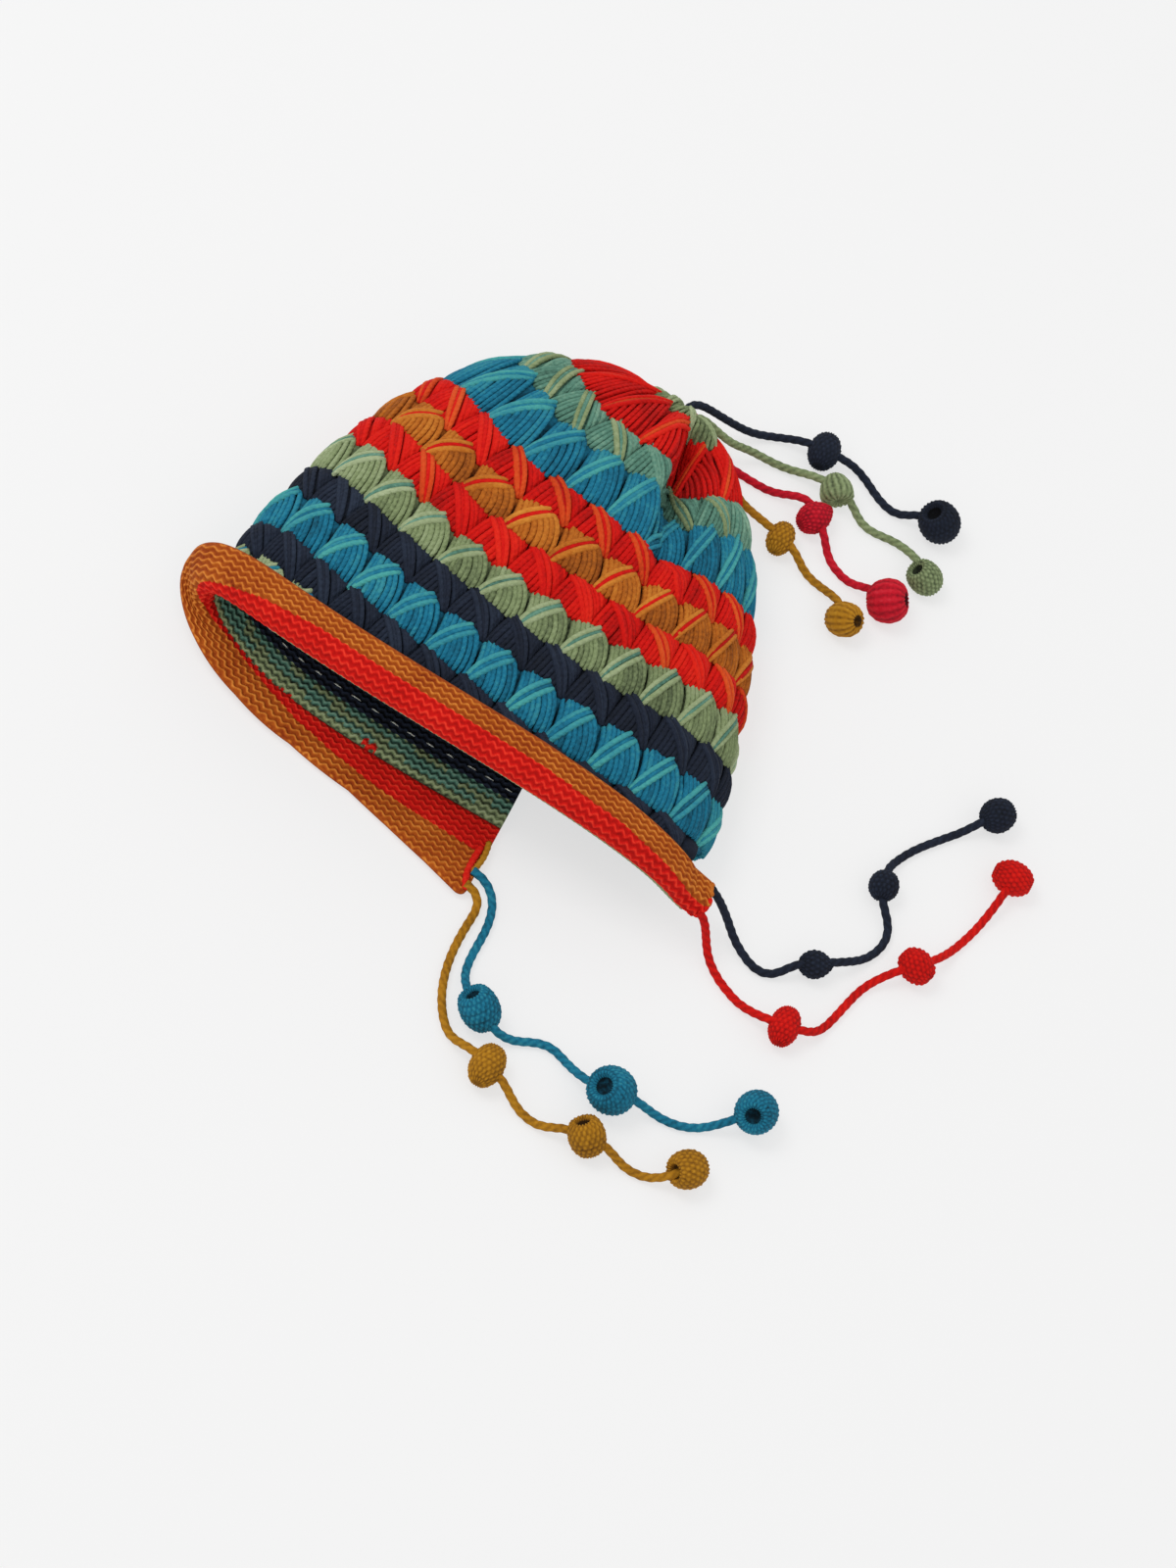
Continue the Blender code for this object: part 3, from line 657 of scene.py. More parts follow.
# A row of puffs: cells side by side round the crown, each with its own small wobble and tone.
# Its lines go from cell shares to the crown's surface and stand on the pillow above it.
def addPuffRow(number):
    row = rows[number]
    count = row["puffs"]
    block = row["lean"] < 0
    middle = (borders[number] + borders[number + 1]) / 2
    around, _ = onCrown(np.arange(count + 1) / count, np.full(count + 1, middle))
    width = np.linalg.norm(np.diff(around, axis=0), axis=1).mean()
    share = min(1, width / puff["fullWidth"])
    hanging = max(4, round((puff["slants"] if block else puff["fan"]) * share))
    uppers = max(2, round(puff["uppers"] * share))
    lines, kinds = (blockLines if block else combLines)(hanging, uppers)
    cells = cellsOf(number)
    cellCount, lineCount = len(cells), len(kinds)
    isBinding = kinds >= bindingKind
    lines = lines[None] + random.normal(0, puff["jitter"], (cellCount, lineCount, 1, 2)) * [0.7, 1]
    u, v = lines[..., 0], lines[..., 1]
    u = u + random.normal(0, puff["sway"], (cellCount, 1, 1)) * (v - 0.5)
    lift = pillow(u, v, puff["blockLevel"] if block else puff["combLevel"])
    lift = lift + (isBinding * puff["bindingLift"] - (kinds == accentKind) * puff["accentSunk"])[:, None]
    lift = lift + random.normal(0, puff["liftJitter"], (cellCount, lineCount, 1))
    if block:
        u = u + puff["lean"] * (v - 0.5)
        distance = borders[number] + (0.02 + 0.96 * v) * row["height"]
    else:
        distance = borders[number] + v * (row["height"] + 2 * puff["overlap"]) - puff["overlap"]
    place = warped((cells[:, None, None] + 0.5 + (u - 0.5) * puff["gap"]) / count, row["warp"])
    point, normal = onCrown(place, distance)
    centres = point + normal * lift[..., None]
    spacing = width * puff["gap"] * motifs["block" if block else "comb"]["width"] / max(hanging - 1, 1)
    taper = 1 - puff["taper"] * np.abs(np.linspace(-1, 1, puff["points"])) ** 8
    size = np.where(isBinding, puff["bindingWidth"], 1)[:, None] * spacing * puff["fullness"] / 2 * taper
    local = 1 + row["warp"] * np.cos(4 * math.pi * ((cells + 0.5) / count - puff["widest"]))
    tones = np.array(row["tones"])[kinds] + random.normal(0, puff["puffTone"], (cellCount, 1))
    tones = tones + random.normal(0, puff["strandTone"], (cellCount, lineCount))
    accent = np.broadcast_to(kinds == accentKind, (cellCount, lineCount))
    if block:
        warm = random.random((cellCount, 1)) < row["warm"]
        accent = warm & (kinds == bindingKind)
        tones = tones - accent * puff["accentShade"]
    # Painted shade: the puffs in the valley are darkened with its depth.
    sunk = valleyDepth(point[:, :, puff["points"] // 2]) / (valley["depth"] * hat["arch"])
    tones = tones - valley["shade"] * sunk
    shape = (-1, puff["points"])
    return addStrands(f"puffRow{number + 1}", centres.reshape(*shape, 3), normal.reshape(*shape, 3),
                      (size * local[:, None, None]).reshape(shape),
                      [wool(row["wool"]), wool(row["accent"])], accent.ravel().astype(int),
                      tones.ravel(), puff["sides"])


puffRows = [addPuffRow(number) for number in range(len(rows))]
print("puffs laid:", sum(len(piece.data.polygons) for piece in puffRows), "faces")

# The knitted ground behind the puffs.
ground = {
    "under": -0.0006,        # its outer face, from the middle of the strands
    "lowest": -0.0026,       # the lowest that its outer face sinks
    "inner": -0.0038,        # its inner face, and where that lies at the edge
    "thinEdge": -0.0028,
    "edgeFade": 0.006,       # how fast the edge thickens
    "columns": 312,
    "rings": 150,
    "backStep": 3,           # the inner face has every third ring
    "slit": 0.0014,          # how deep the slits between puffs are, and their half width
    "slitShare": 0.06,
    "slitPaintedShade": 260,        # how much painted shade darkens a slit with its depth
    "cut": 0.0004,           # half the width, as a share of the round, of a cut at the notch
}


# Distance of the crown's edge from the rim line at each place: two rows less in the notch.
def edgeAt(place):
    wrapped = np.mod(place, 1)
    inside = (wrapped > notch["near"]) & (wrapped < notch["far"])
    return np.where(inside, borders[notch["rows"]], 0)


# Depth of the ground's inner face at a distance from the edge: thin there, then full.
def innerDepth(fromEdge, thinEdge=ground["thinEdge"]):
    return ground["inner"] + (thinEdge - ground["inner"]) * np.exp(-fromEdge / ground["edgeFade"])


# The ground: a closed shell, its inner face from the tip to the edge and its outer face back.
# The outer face follows the puffs' pillows and sinks in the slits between them.
def addGround():
    cuts = [notch[end] + side * ground["cut"] for end in ("near", "far") for side in (-1, 1)]
    place = np.unique(np.concatenate([np.arange(ground["columns"]) / ground["columns"], cuts]))
    share = np.linspace(0, 1, ground["rings"])
    edge = edgeAt(place)[:, None]
    distance = edge + (crownLength - edge) * share
    point, normal = onCrown(np.broadcast_to(place[:, None], distance.shape), distance)
    rowAt = np.clip(np.searchsorted(borders, distance, side="right") - 1, 0, len(rows) - 1)
    counts = np.array([row["puffs"] for row in rows])[rowAt]
    isBlock = np.array([row["lean"] < 0 for row in rows])[rowAt]
    v = (distance - borders[rowAt]) / rowHeights[rowAt]
    even = np.linspace(-0.1, 1.1, 2401)
    shares = np.array([np.interp(place, warped(even, row["warp"]), even) for row in rows])
    u = shares[rowAt, np.arange(len(place))[:, None]] * counts
    u = np.mod(u - np.where(isBlock, puff["lean"] * (v - 0.5), 0), 1)
    height = pillow(u, v, np.where(isBlock, puff["blockLevel"], puff["combLevel"]))
    slit = np.clip(1 - np.minimum(u, 1 - u) / ground["slitShare"], 0, 1) * ground["slit"]
    inner = (point + normal * innerDepth(distance - edge)[..., None])[:, ::ground["backStep"]]
    outer = point + normal * np.maximum(height + ground["under"] - slit, ground["lowest"])[..., None]
    grid = np.concatenate([inner[:, ::-1], outer], axis=1)
    faces = ribbonFaces(*grid.shape[:2])
    used = sorted({row["wool"] for row in rows})
    woolAt = np.array([used.index(row["wool"]) for row in rows])[rowAt]
    innerWool = woolAt[:, ::ground["backStep"]][:, ::-1][:, 1:]
    numbers = np.concatenate([innerWool, woolAt[:, :1], woolAt[:, :-1]], axis=1)
    numbers = np.concatenate([numbers.ravel(), [numbers[0, 0], numbers[0, -1]]])
    # The ground's low tone is painted shade behind the strands, and the slits get more painted shade the
    # deeper they are.
    tone = np.concatenate([np.full(inner.shape[:2], 0.30), 0.32 - slit * ground["slitPaintedShade"]], axis=1)
    return addPiece("ground", toScene(aboveTable(grid.reshape(-1, 3))), faces,
                    [wool(name) for name in used], numbers, tone.ravel())


groundPiece = addGround()
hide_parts("crown")
print("ground knitted")


# A line read again at an even spacing, about a step long.
def evenly(curve, step):
    way = wayAlong(curve)
    wanted = np.linspace(0, way[-1], max(8, round(way[-1] / step) + 1))
    return np.stack([np.interp(wanted, way, curve[:, axis]) for axis in range(3)], -1)


# Samples of a spline's span, and how often and how far a running mean rounds the line.
rounding = {"samples": 24, "passes": 3, "reach": 4, "clearance": 0.0003}


# A smooth curve through route points at an even spacing: a centripetal Catmull-Rom spline,
# then a running mean that rounds its bends. It stays a clearance above the table.
def smoothRoute(points, radius, step=0.0009):
    route = np.vstack([2 * points[0] - points[1], points, 2 * points[-1] - points[-2]])
    knots = np.concatenate(([0], np.cumsum(np.linalg.norm(np.diff(route, axis=0), axis=1) ** 0.5)))
    pieces = []
    for i in range(1, len(route) - 2):
        a, b, c, d = route[i - 1:i + 3]
        ka, kb, kc, kd = knots[i - 1:i + 3]
        k = np.linspace(kb, kc, rounding["samples"], endpoint=False)[:, None]
        ab = (kb - k) / (kb - ka) * a + (k - ka) / (kb - ka) * b
        bc = (kc - k) / (kc - kb) * b + (k - kb) / (kc - kb) * c
        cd = (kd - k) / (kd - kc) * c + (k - kc) / (kd - kc) * d
        abc = (kc - k) / (kc - ka) * ab + (k - ka) / (kc - ka) * bc
        bcd = (kd - k) / (kd - kb) * bc + (k - kb) / (kd - kb) * cd
        pieces.append((kc - k) / (kc - kb) * abc + (k - kb) / (kc - kb) * bcd)
    curve = np.vstack(pieces + [route[-2:-1]])
    reach = rounding["reach"]
    kernel = np.ones(2 * reach + 1) / (2 * reach + 1)
    for _ in range(rounding["passes"]):
        curve = evenly(curve, step)
        ends = curve[[0, -1]].copy()
        padded = np.vstack([2 * ends[0] - curve[reach:0:-1], curve,
                            2 * ends[1] - curve[-2:-2 - reach:-1]])
        curve = np.stack([np.convolve(padded[:, axis], kernel, "valid") for axis in range(3)], -1)
        curve[[0, -1]] = ends
    curve[:, 2] = np.maximum(curve[:, 2], radius + rounding["clearance"])
    return evenly(curve, step)


# Purl fabric: wavy ridges across the way it was knitted.
purl = {
    "ridge": 0.0029,     # from ridge to ridge
    "wave": 0.0042,      # one stitch along a ridge
    "sway": 0.22,        # how far a ridge sways, as a share of the ridge spacing
    "height": 0.0011,
    "sunk": 0.75,        # how far the fabric between ridges lies in, as a share of their height
}


# Relief of purl fabric at a way along and a way across: a cosine across the ridges, whose
# phase sways with a sine along them.
def purlRelief(along, across):
    phase = across / purl["ridge"] + purl["sway"] * np.sin(2 * math.pi * along / purl["wave"])
    return 0.5 + 0.5 * np.cos(2 * math.pi * phase)


# Places round the crown at shares of the way from the notch's near end to its far end.
def pastNotch(share):
    return notch["near"] + (notch["far"] - 1 - notch["near"]) * share


# The band: a closed ribbon that follows the rim, its face to the inside of the hat.
band = {
    "thickness": 0.0030,
    "width": 0.0260,
    "curlRadius": 0.0053,
    "lead": 0.0005,           # the straight start before the curl, and the gap to the rim
    "overhang": 0.0100,       # how far the near end runs on past the rim, how steeply, and over
    "droop": 0.5,             # how many stations its direction is taken
    "towards": 12,
    "cornerRadius": 0.0045,
    "edgeFade": 18,           # how fast the ridges fade at the long edges
    "outerEdge": 0.6,         # how far each long edge bulges, as a share of half the thickness
    "innerEdge": 0.2,
    "stations": 900,
    "overhangStations": 32,
    "across": 62,
    "backStep": 5,            # the back has every fifth line of the face
    "furrowShadeTone": 0.26,       # the tone between the ridges, with painted shade, the painted highlight a crest adds, and how narrow
    "crestHighlightTone": 0.56,
    "crestPower": 3.2,
}

# Along the band from its near end: the place, the curl in degrees, the curl's radius and the
# width as shares of the band's, and how much of the width is red.
bandKeys = ("place", "curl", "radius", "width", "red")
bandTable = [
    (0.00, 200, 0.80, 1.00, 0.46),
    (0.10, 195, 0.90, 1.12, 0.60),
    (0.20, 192, 1.00, 1.18, 0.67),
    (0.44, 189, 1.06, 1.19, 0.66),
    (0.50, 188, 1.08, 1.20, 0.58),
    (0.57, 165, 1.04, 1.10, 0.42),
    (0.62, 125, 0.80, 0.86, 0.22),
    (0.67, 70, 0.95, 0.66, 0.12),
    (0.72, 35, 1.60, 0.60, 0.24),
    (0.78, 8, 1.60, 0.64, 0.46),
    (0.85, 0, 1.60, 0.80, 0.58),
    (0.90, 0, 1.60, 1.00, 0.55),
    (0.95, 0, 1.60, 1.22, 0.47),
    (1.00, 0, 1.60, 1.48, 0.41),
]


# Stations along the rim, from the near end over the upper layer to the far end: rim point,
# way forward and way outward. The near end runs straight on past the rim.
def bandStations():
    along = np.linspace(0, 1, band["stations"])
    rimPoints = crownSurface(sectionAngles(pastNotch(along)), np.array([0, 0.001]))
    upward = unit(rimPoints[:, 1] - rimPoints[:, 0])
    points = rimPoints[:, 0]
    step = -np.gradient(points, axis=0)
    outward = unit(np.cross(step, upward))
    forward = -upward
    leaving = unit((points[0] - points[band["towards"]]) * [1, 1, band["droop"]])
    share = np.linspace(1, 1 / band["overhangStations"], band["overhangStations"])[:, None]
    points = np.vstack([points[0] + leaving * band["overhang"] * share, points])
    forward = np.vstack([np.repeat(forward[:1], len(share), 0), forward])
    outward = np.vstack([np.repeat(outward[:1], len(share), 0), outward])
    along = np.concatenate([np.zeros(len(share)), along])
    turnOver = outward * [1, 1, 0]
    turnOver[:, 2] = np.maximum(outward[:, 2], 0.001)
    return along, points, forward, outward, unit(turnOver)


# The ribbon's section: a straight lead, an arc, and a straight rest. Face points lie on the
# inner side of the hat, with purl ridges, and back points half a thickness behind.
def addBand():
    along, rimPoints, forward, outward, turnOver = bandStations()
    places, *columns = np.array(bandTable).T
    table = {key: np.interp(along, places, column) for key, column in zip(bandKeys[1:], columns)}
    radius = (table["radius"] * band["curlRadius"])[:, None]
    fromFar = np.arange(len(along))[::-1] * np.linalg.norm(np.diff(rimPoints, axis=0), axis=1).mean()
    corner = np.clip(1 - fromFar / band["cornerRadius"], 0, 1)
    cutOff = band["cornerRadius"] * (1 - np.sqrt(1 - corner ** 2))
    width = (table["width"] * band["width"] - cutOff)[:, None]
    arc = np.minimum(np.radians(table["curl"])[:, None], (width - band["lead"]) / radius)
    share = np.linspace(0, 1, band["across"])[None, :]
    way = share * width
    turn = np.clip((way - band["lead"]) / radius, 0, arc)
    rest = np.clip(way - band["lead"] - arc * radius, 0, None)
    ahead = np.minimum(way, band["lead"]) + radius * np.sin(turn) + rest * np.cos(arc)
    out = radius * (1 - np.cos(turn)) + rest * np.sin(arc)
    start = rimPoints + forward * band["lead"] - outward * band["thickness"] / 2
    middle = start[:, None] + ahead[..., None] * forward[:, None] + out[..., None] * turnOver[:, None]
    middle[..., 2] = np.maximum(middle[..., 2], band["thickness"] / 2)
    stepRound = np.gradient(middle, axis=0)
    stepOut = np.gradient(middle, axis=1)
    face = -unit(np.cross(stepRound, stepOut))
    length = wayAlong(rimPoints)
    relief = purlRelief(length[:, None], way)
    fade = np.clip(np.minimum(share, 1 - share) * band["edgeFade"], 0, 1)
    half = band["thickness"] / 2
    proud = purl["height"] * (relief * fade - purl["sunk"])
    top = middle + face * (half + proud)[..., None]
    tangent = unit(stepOut)
    edgeOut = middle[:, -1:] + tangent[:, -1:] * half * band["outerEdge"]
    edgeIn = middle[:, :1] - tangent[:, :1] * half * band["innerEdge"]
    backwards = slice(None, None, -band["backStep"])
    back = (middle - face * half)[:, backwards]
    grid = np.concatenate([top, edgeOut, back, edgeIn], axis=1).transpose(1, 0, 2)
    faces = ribbonFaces(*grid.shape[:2])
    shareLoop = np.concatenate([share[0], [1.0], share[0][backwards], [0.0]])
    number = (shareLoop[:, None] > table["red"][None, :-1]).astype(int)
    number = np.concatenate([number.ravel(), [1, 1]])
    # Painted highlight on the ridges' crests and painted shade in the furrows between them.
    crestHighlight = np.zeros(grid.shape[:2])
    crestHighlight[:band["across"]] = relief.T
    tone = band["furrowShadeTone"] + band["crestHighlightTone"] * crestHighlight ** band["crestPower"]
    piece = addPiece("earBand", toScene(aboveTable(grid.reshape(-1, 3), 0.0002)), faces,
                     [wool("bandRed"), wool("bandOchre")], number, tone.ravel())
    return piece, middle, face


# Trims of the band: the sage edge of the lowest row under the roll, and the bindings of its far
# end in red and mustard and of its near end in red and ochre. A trim's points are a way from an
# end in metres and a share of the width.
bandTrims = [
    {"wool": "sage", "radius": 0.0010, "lift": 0.0016, "fromEnd": "near",
     "points": [(0.006 + 0.012 * k, 0.16) for k in range(20)]},
    {"wool": "bandRed", "radius": 0.0017, "lift": 0.0017, "fromEnd": "far",
     "points": [(0.0034, 0.36), (0.0040, 0.50), (0.0040, 0.66), (0.0034, 0.82), (0.0020, 0.93),
                (0.0006, 0.98)]},
    {"wool": "mustard", "radius": 0.0015, "lift": 0.0019, "fromEnd": "far",
     "points": [(0.0016, 0.26), (0.0004, 0.40), (0.0002, 0.52), (0.0008, 0.64), (0.0018, 0.74)]},
    {"wool": "bandRed", "radius": 0.0016, "lift": 0.0012, "fromEnd": "near",
     "points": [(0.0004, 0.28), (0.0000, 0.40), (0.0000, 0.55), (0.0004, 0.66)]},
    {"wool": "bandOchre", "radius": 0.0014, "lift": 0.0012, "fromEnd": "near",
     "points": [(0.0004, 0.70), (0.0000, 0.80), (0.0000, 0.90), (0.0006, 0.97)]},
]


# How a trim looks: a ripple of its radius, from point to point by an angle, and thin ends.
trimLook = {"ripple": 0.1, "rippleTurn": 2.2, "endShare": 0.6, "tone": 0.62, "sides": 8}


# Each trim is a strand that lies on the band's face, through the band's own points.
def addTrims(middle, face):
    middleLine = middle[:, band["across"] // 2 - 1]
    spacing = np.linalg.norm(np.diff(middleLine, axis=0), axis=1).mean()
    for number, trim in enumerate(bandTrims, 1):
        way, share = np.array(trim["points"]).T
        station = way / spacing
        station = station if trim["fromEnd"] == "near" else len(middle) - 1 - station
        row = np.clip(np.round(station).astype(int), 0, len(middle) - 1)
        column = np.clip(np.round(share * (band["across"] - 1)).astype(int), 0, band["across"] - 1)
        knots = middle[row, column] + face[row, column] * trim["lift"]
        line = smoothRoute(knots, trim["radius"])
        normal = np.repeat(face[row, column].mean(0)[None], len(line), 0)
        ripple = trimLook["ripple"] * np.sin(np.arange(len(line)) * trimLook["rippleTurn"])
        radius = trim["radius"] * (1 - trimLook["ripple"] + ripple)
        radius[[0, -1]] *= trimLook["endShare"]
        piece = addStrands(f"bandTrim{number}", line[None], unit(normal)[None], radius[None],
                           [wool(trim["wool"])], np.zeros(1, int), np.full(1, trimLook["tone"]),
                           trimLook["sides"])


bandPiece, bandMiddle, bandFace = addBand()
addTrims(bandMiddle, bandFace)
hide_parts("ear_band")
print("band knitted:", len(bandPiece.data.polygons), "faces")

# The inside of the lowest rows, where it shows in the mouth.
lining = {
    "depth": 0.040,
    "lap": 0.0016,           # how far it laps over the band
    "thinEdge": -0.0023,     # where its face lies at the edge
    "lift": 0.0003,
    "edgeFade": 14,
    "columns": 600,
    "rings": 82,
    "backStep": 9,           # the back has every ninth ring of the face
    "under": 0.0008,
    "sageWidth": 0.0105,     # the rest of what shows is navy
    "longPatch": 0.0090,     # lengths of the patches of another wool in a ridge, the share of
    "shortPatch": 0.0037,    # the short ones, and how far the long ones shift from ridge to ridge
    "shortShare": 0.6,
    "patchShift": 2.1,
    "greenFrom": -0.3,       # how strong a patch is that turns a ridge sea green, or a stitch red
    "redFrom": 1.25,
    # Painted shade between the ridges, the painted highlight on their crests, and how narrow it is.
    "furrowShadeTone": 0.12,
    "crestHighlightTone": 0.62,
    "crestPower": 1.6,
}


# The lining: a closed ribbon inside the crown, from its edge inwards, its face in purl.
def addLining():
    place = pastNotch(np.linspace(0, 1, lining["columns"]))
    share = np.linspace(0, 1, lining["rings"])
    distance = np.broadcast_to(share * lining["depth"] - lining["lap"], (len(place), len(share)))
    point, normal = onCrown(np.broadcast_to(place[:, None], distance.shape), distance)
    upward = unit(onCrown(place, np.full(len(place), 0.002))[0] - point[:, 0])
    point = point + upward[:, None] * np.minimum(distance, 0)[..., None]
    length = wayAlong(point[:, 0])
    relief = purlRelief(length[:, None], distance)
    depth = innerDepth(distance, lining["thinEdge"])
    fade = np.clip(np.minimum(share, 1 - share) * lining["edgeFade"], 0, 1)
    face = point + normal * (depth - lining["lift"] - relief * purl["height"] * fade)[..., None]
    backwards = slice(None, None, -lining["backStep"])
    back = (point + normal * (depth + lining["under"])[..., None])[:, backwards]
    grid = np.concatenate([face, back], axis=1).transpose(1, 0, 2)
    faces = ribbonFaces(*grid.shape[:2])
    loop = np.concatenate([distance[0], distance[0][backwards]])[:, None]
    way = length[None, :-1]
    ridge = np.floor(loop / purl["ridge"] + purl["sway"] * np.sin(2 * math.pi * way / purl["wave"]) + 0.5)
    longWave = np.sin(way / lining["longPatch"] + lining["patchShift"] * ridge)
    patch = longWave + lining["shortShare"] * np.sin(way / lining["shortPatch"] + ridge)
    sage, seaGreen, navy, red = range(4)
    number = np.where((ridge > 0) & (patch > lining["greenFrom"]), seaGreen, sage)
    number = np.where(loop > lining["sageWidth"], navy, number)
    number = np.where((ridge <= 0) & (patch > lining["redFrom"]), red, number)
    number = np.concatenate([number.ravel(), [navy, navy]])
    # Painted highlight on the crests, painted shade in the furrows.
    crestHighlight = np.zeros(grid.shape[:2])
    crestHighlight[:lining["rings"]] = relief.T
    tone = lining["furrowShadeTone"] + lining["crestHighlightTone"] * crestHighlight ** lining["crestPower"]
    piece = addPiece("mouthLining", toScene(aboveTable(grid.reshape(-1, 3))), faces,
                     [wool("sage"), wool("seaGreen"), wool("navy"), wool("bandRed")], number, tone.ravel())
    return piece


# The running stitch inside: short pale dashes over the navy, deeper in than the sage.
stitching = {
    "count": 17,
    "points": 7,
    "from": 0.62,            # shares of the lining's length
    "to": 0.985,
    "shortest": 0.0040,
    "spread": 0.0018,
    "liningLength": 0.52,    # which turns a dash's length into a share
    "pastSage": 0.0042,
    "sway": 0.0004,
    "jitter": 0.003,         # how unevenly the dashes start, as a share
    "depth": 0.0012,
    "bow": 0.0004,
    "radius": 0.00032,
    "taper": 0.4,
    "tone": 0.6,
}


# Each dash is a strand that bows over the lining's face at its middle.
def addRunningStitch():
    count, points = stitching["count"], stitching["points"]
    start = np.linspace(stitching["from"], stitching["to"], count)
    start = start + random.normal(0, stitching["jitter"], count)
    span = (stitching["shortest"] + stitching["spread"] * random.random(count)) / stitching["liningLength"]
    place = pastNotch(start[:, None] + span[:, None] * np.linspace(0, 1, points))
    wobble = stitching["sway"] * np.sin(np.arange(count))[:, None]
    distance = lining["sageWidth"] + stitching["pastSage"] + wobble + 0 * place
    point, normal = onCrown(place, distance)
    along = np.linspace(-1, 1, points)
    deep = ground["inner"] - stitching["depth"] + stitching["bow"] * along ** 2
    centres = point + normal * deep[None, :, None]
    radii = np.broadcast_to(stitching["radius"] * (1 - stitching["taper"] * along ** 4), (count, points))
    piece = addStrands("runningStitch", centres, normal, radii, [wool("pale")],
                       np.zeros(count, int), np.full(count, stitching["tone"]), sides=5)


liningPiece = addLining()
addRunningStitch()
print("lining knitted:", len(liningPiece.data.polygons), "faces")

# Cords and bobbles. A stretch is the route's points in millimetres in the hat's frame, and the
# bobble at its end: middle, the cord's heading in degrees, share of the bobble's size, length
# share. A shape is the way its open end looks: heading and tilt, share across and along, form.
cord = {
    "diameter": 0.0036,
    "bobble": 0.0170,
    "lift": 0.0003,
    "step": 0.0009,
    "sides": 12,
    "seatGap": 0.0005,       # between the tip's disc and a cord
    "nearSeat": (0.0016, -0.0024, -0.0022),   # from the corner of a cord's first stretch
    "nearWay": (0.78, 0.03, -0.62),
    "farSeat": (-0.0040, -0.0024, 0),
    "farWay": (1.0, 0.02, 0.02),
    "braids": 3,
    "pitch": 0.0042,
    "braidDepth": 0.08,
    "braidPower": 0.7,
    # Painted shade between the braids and painted highlight on them.
    "furrowShadeTone": 0.34,
    "crestHighlightTone": 0.20,
}
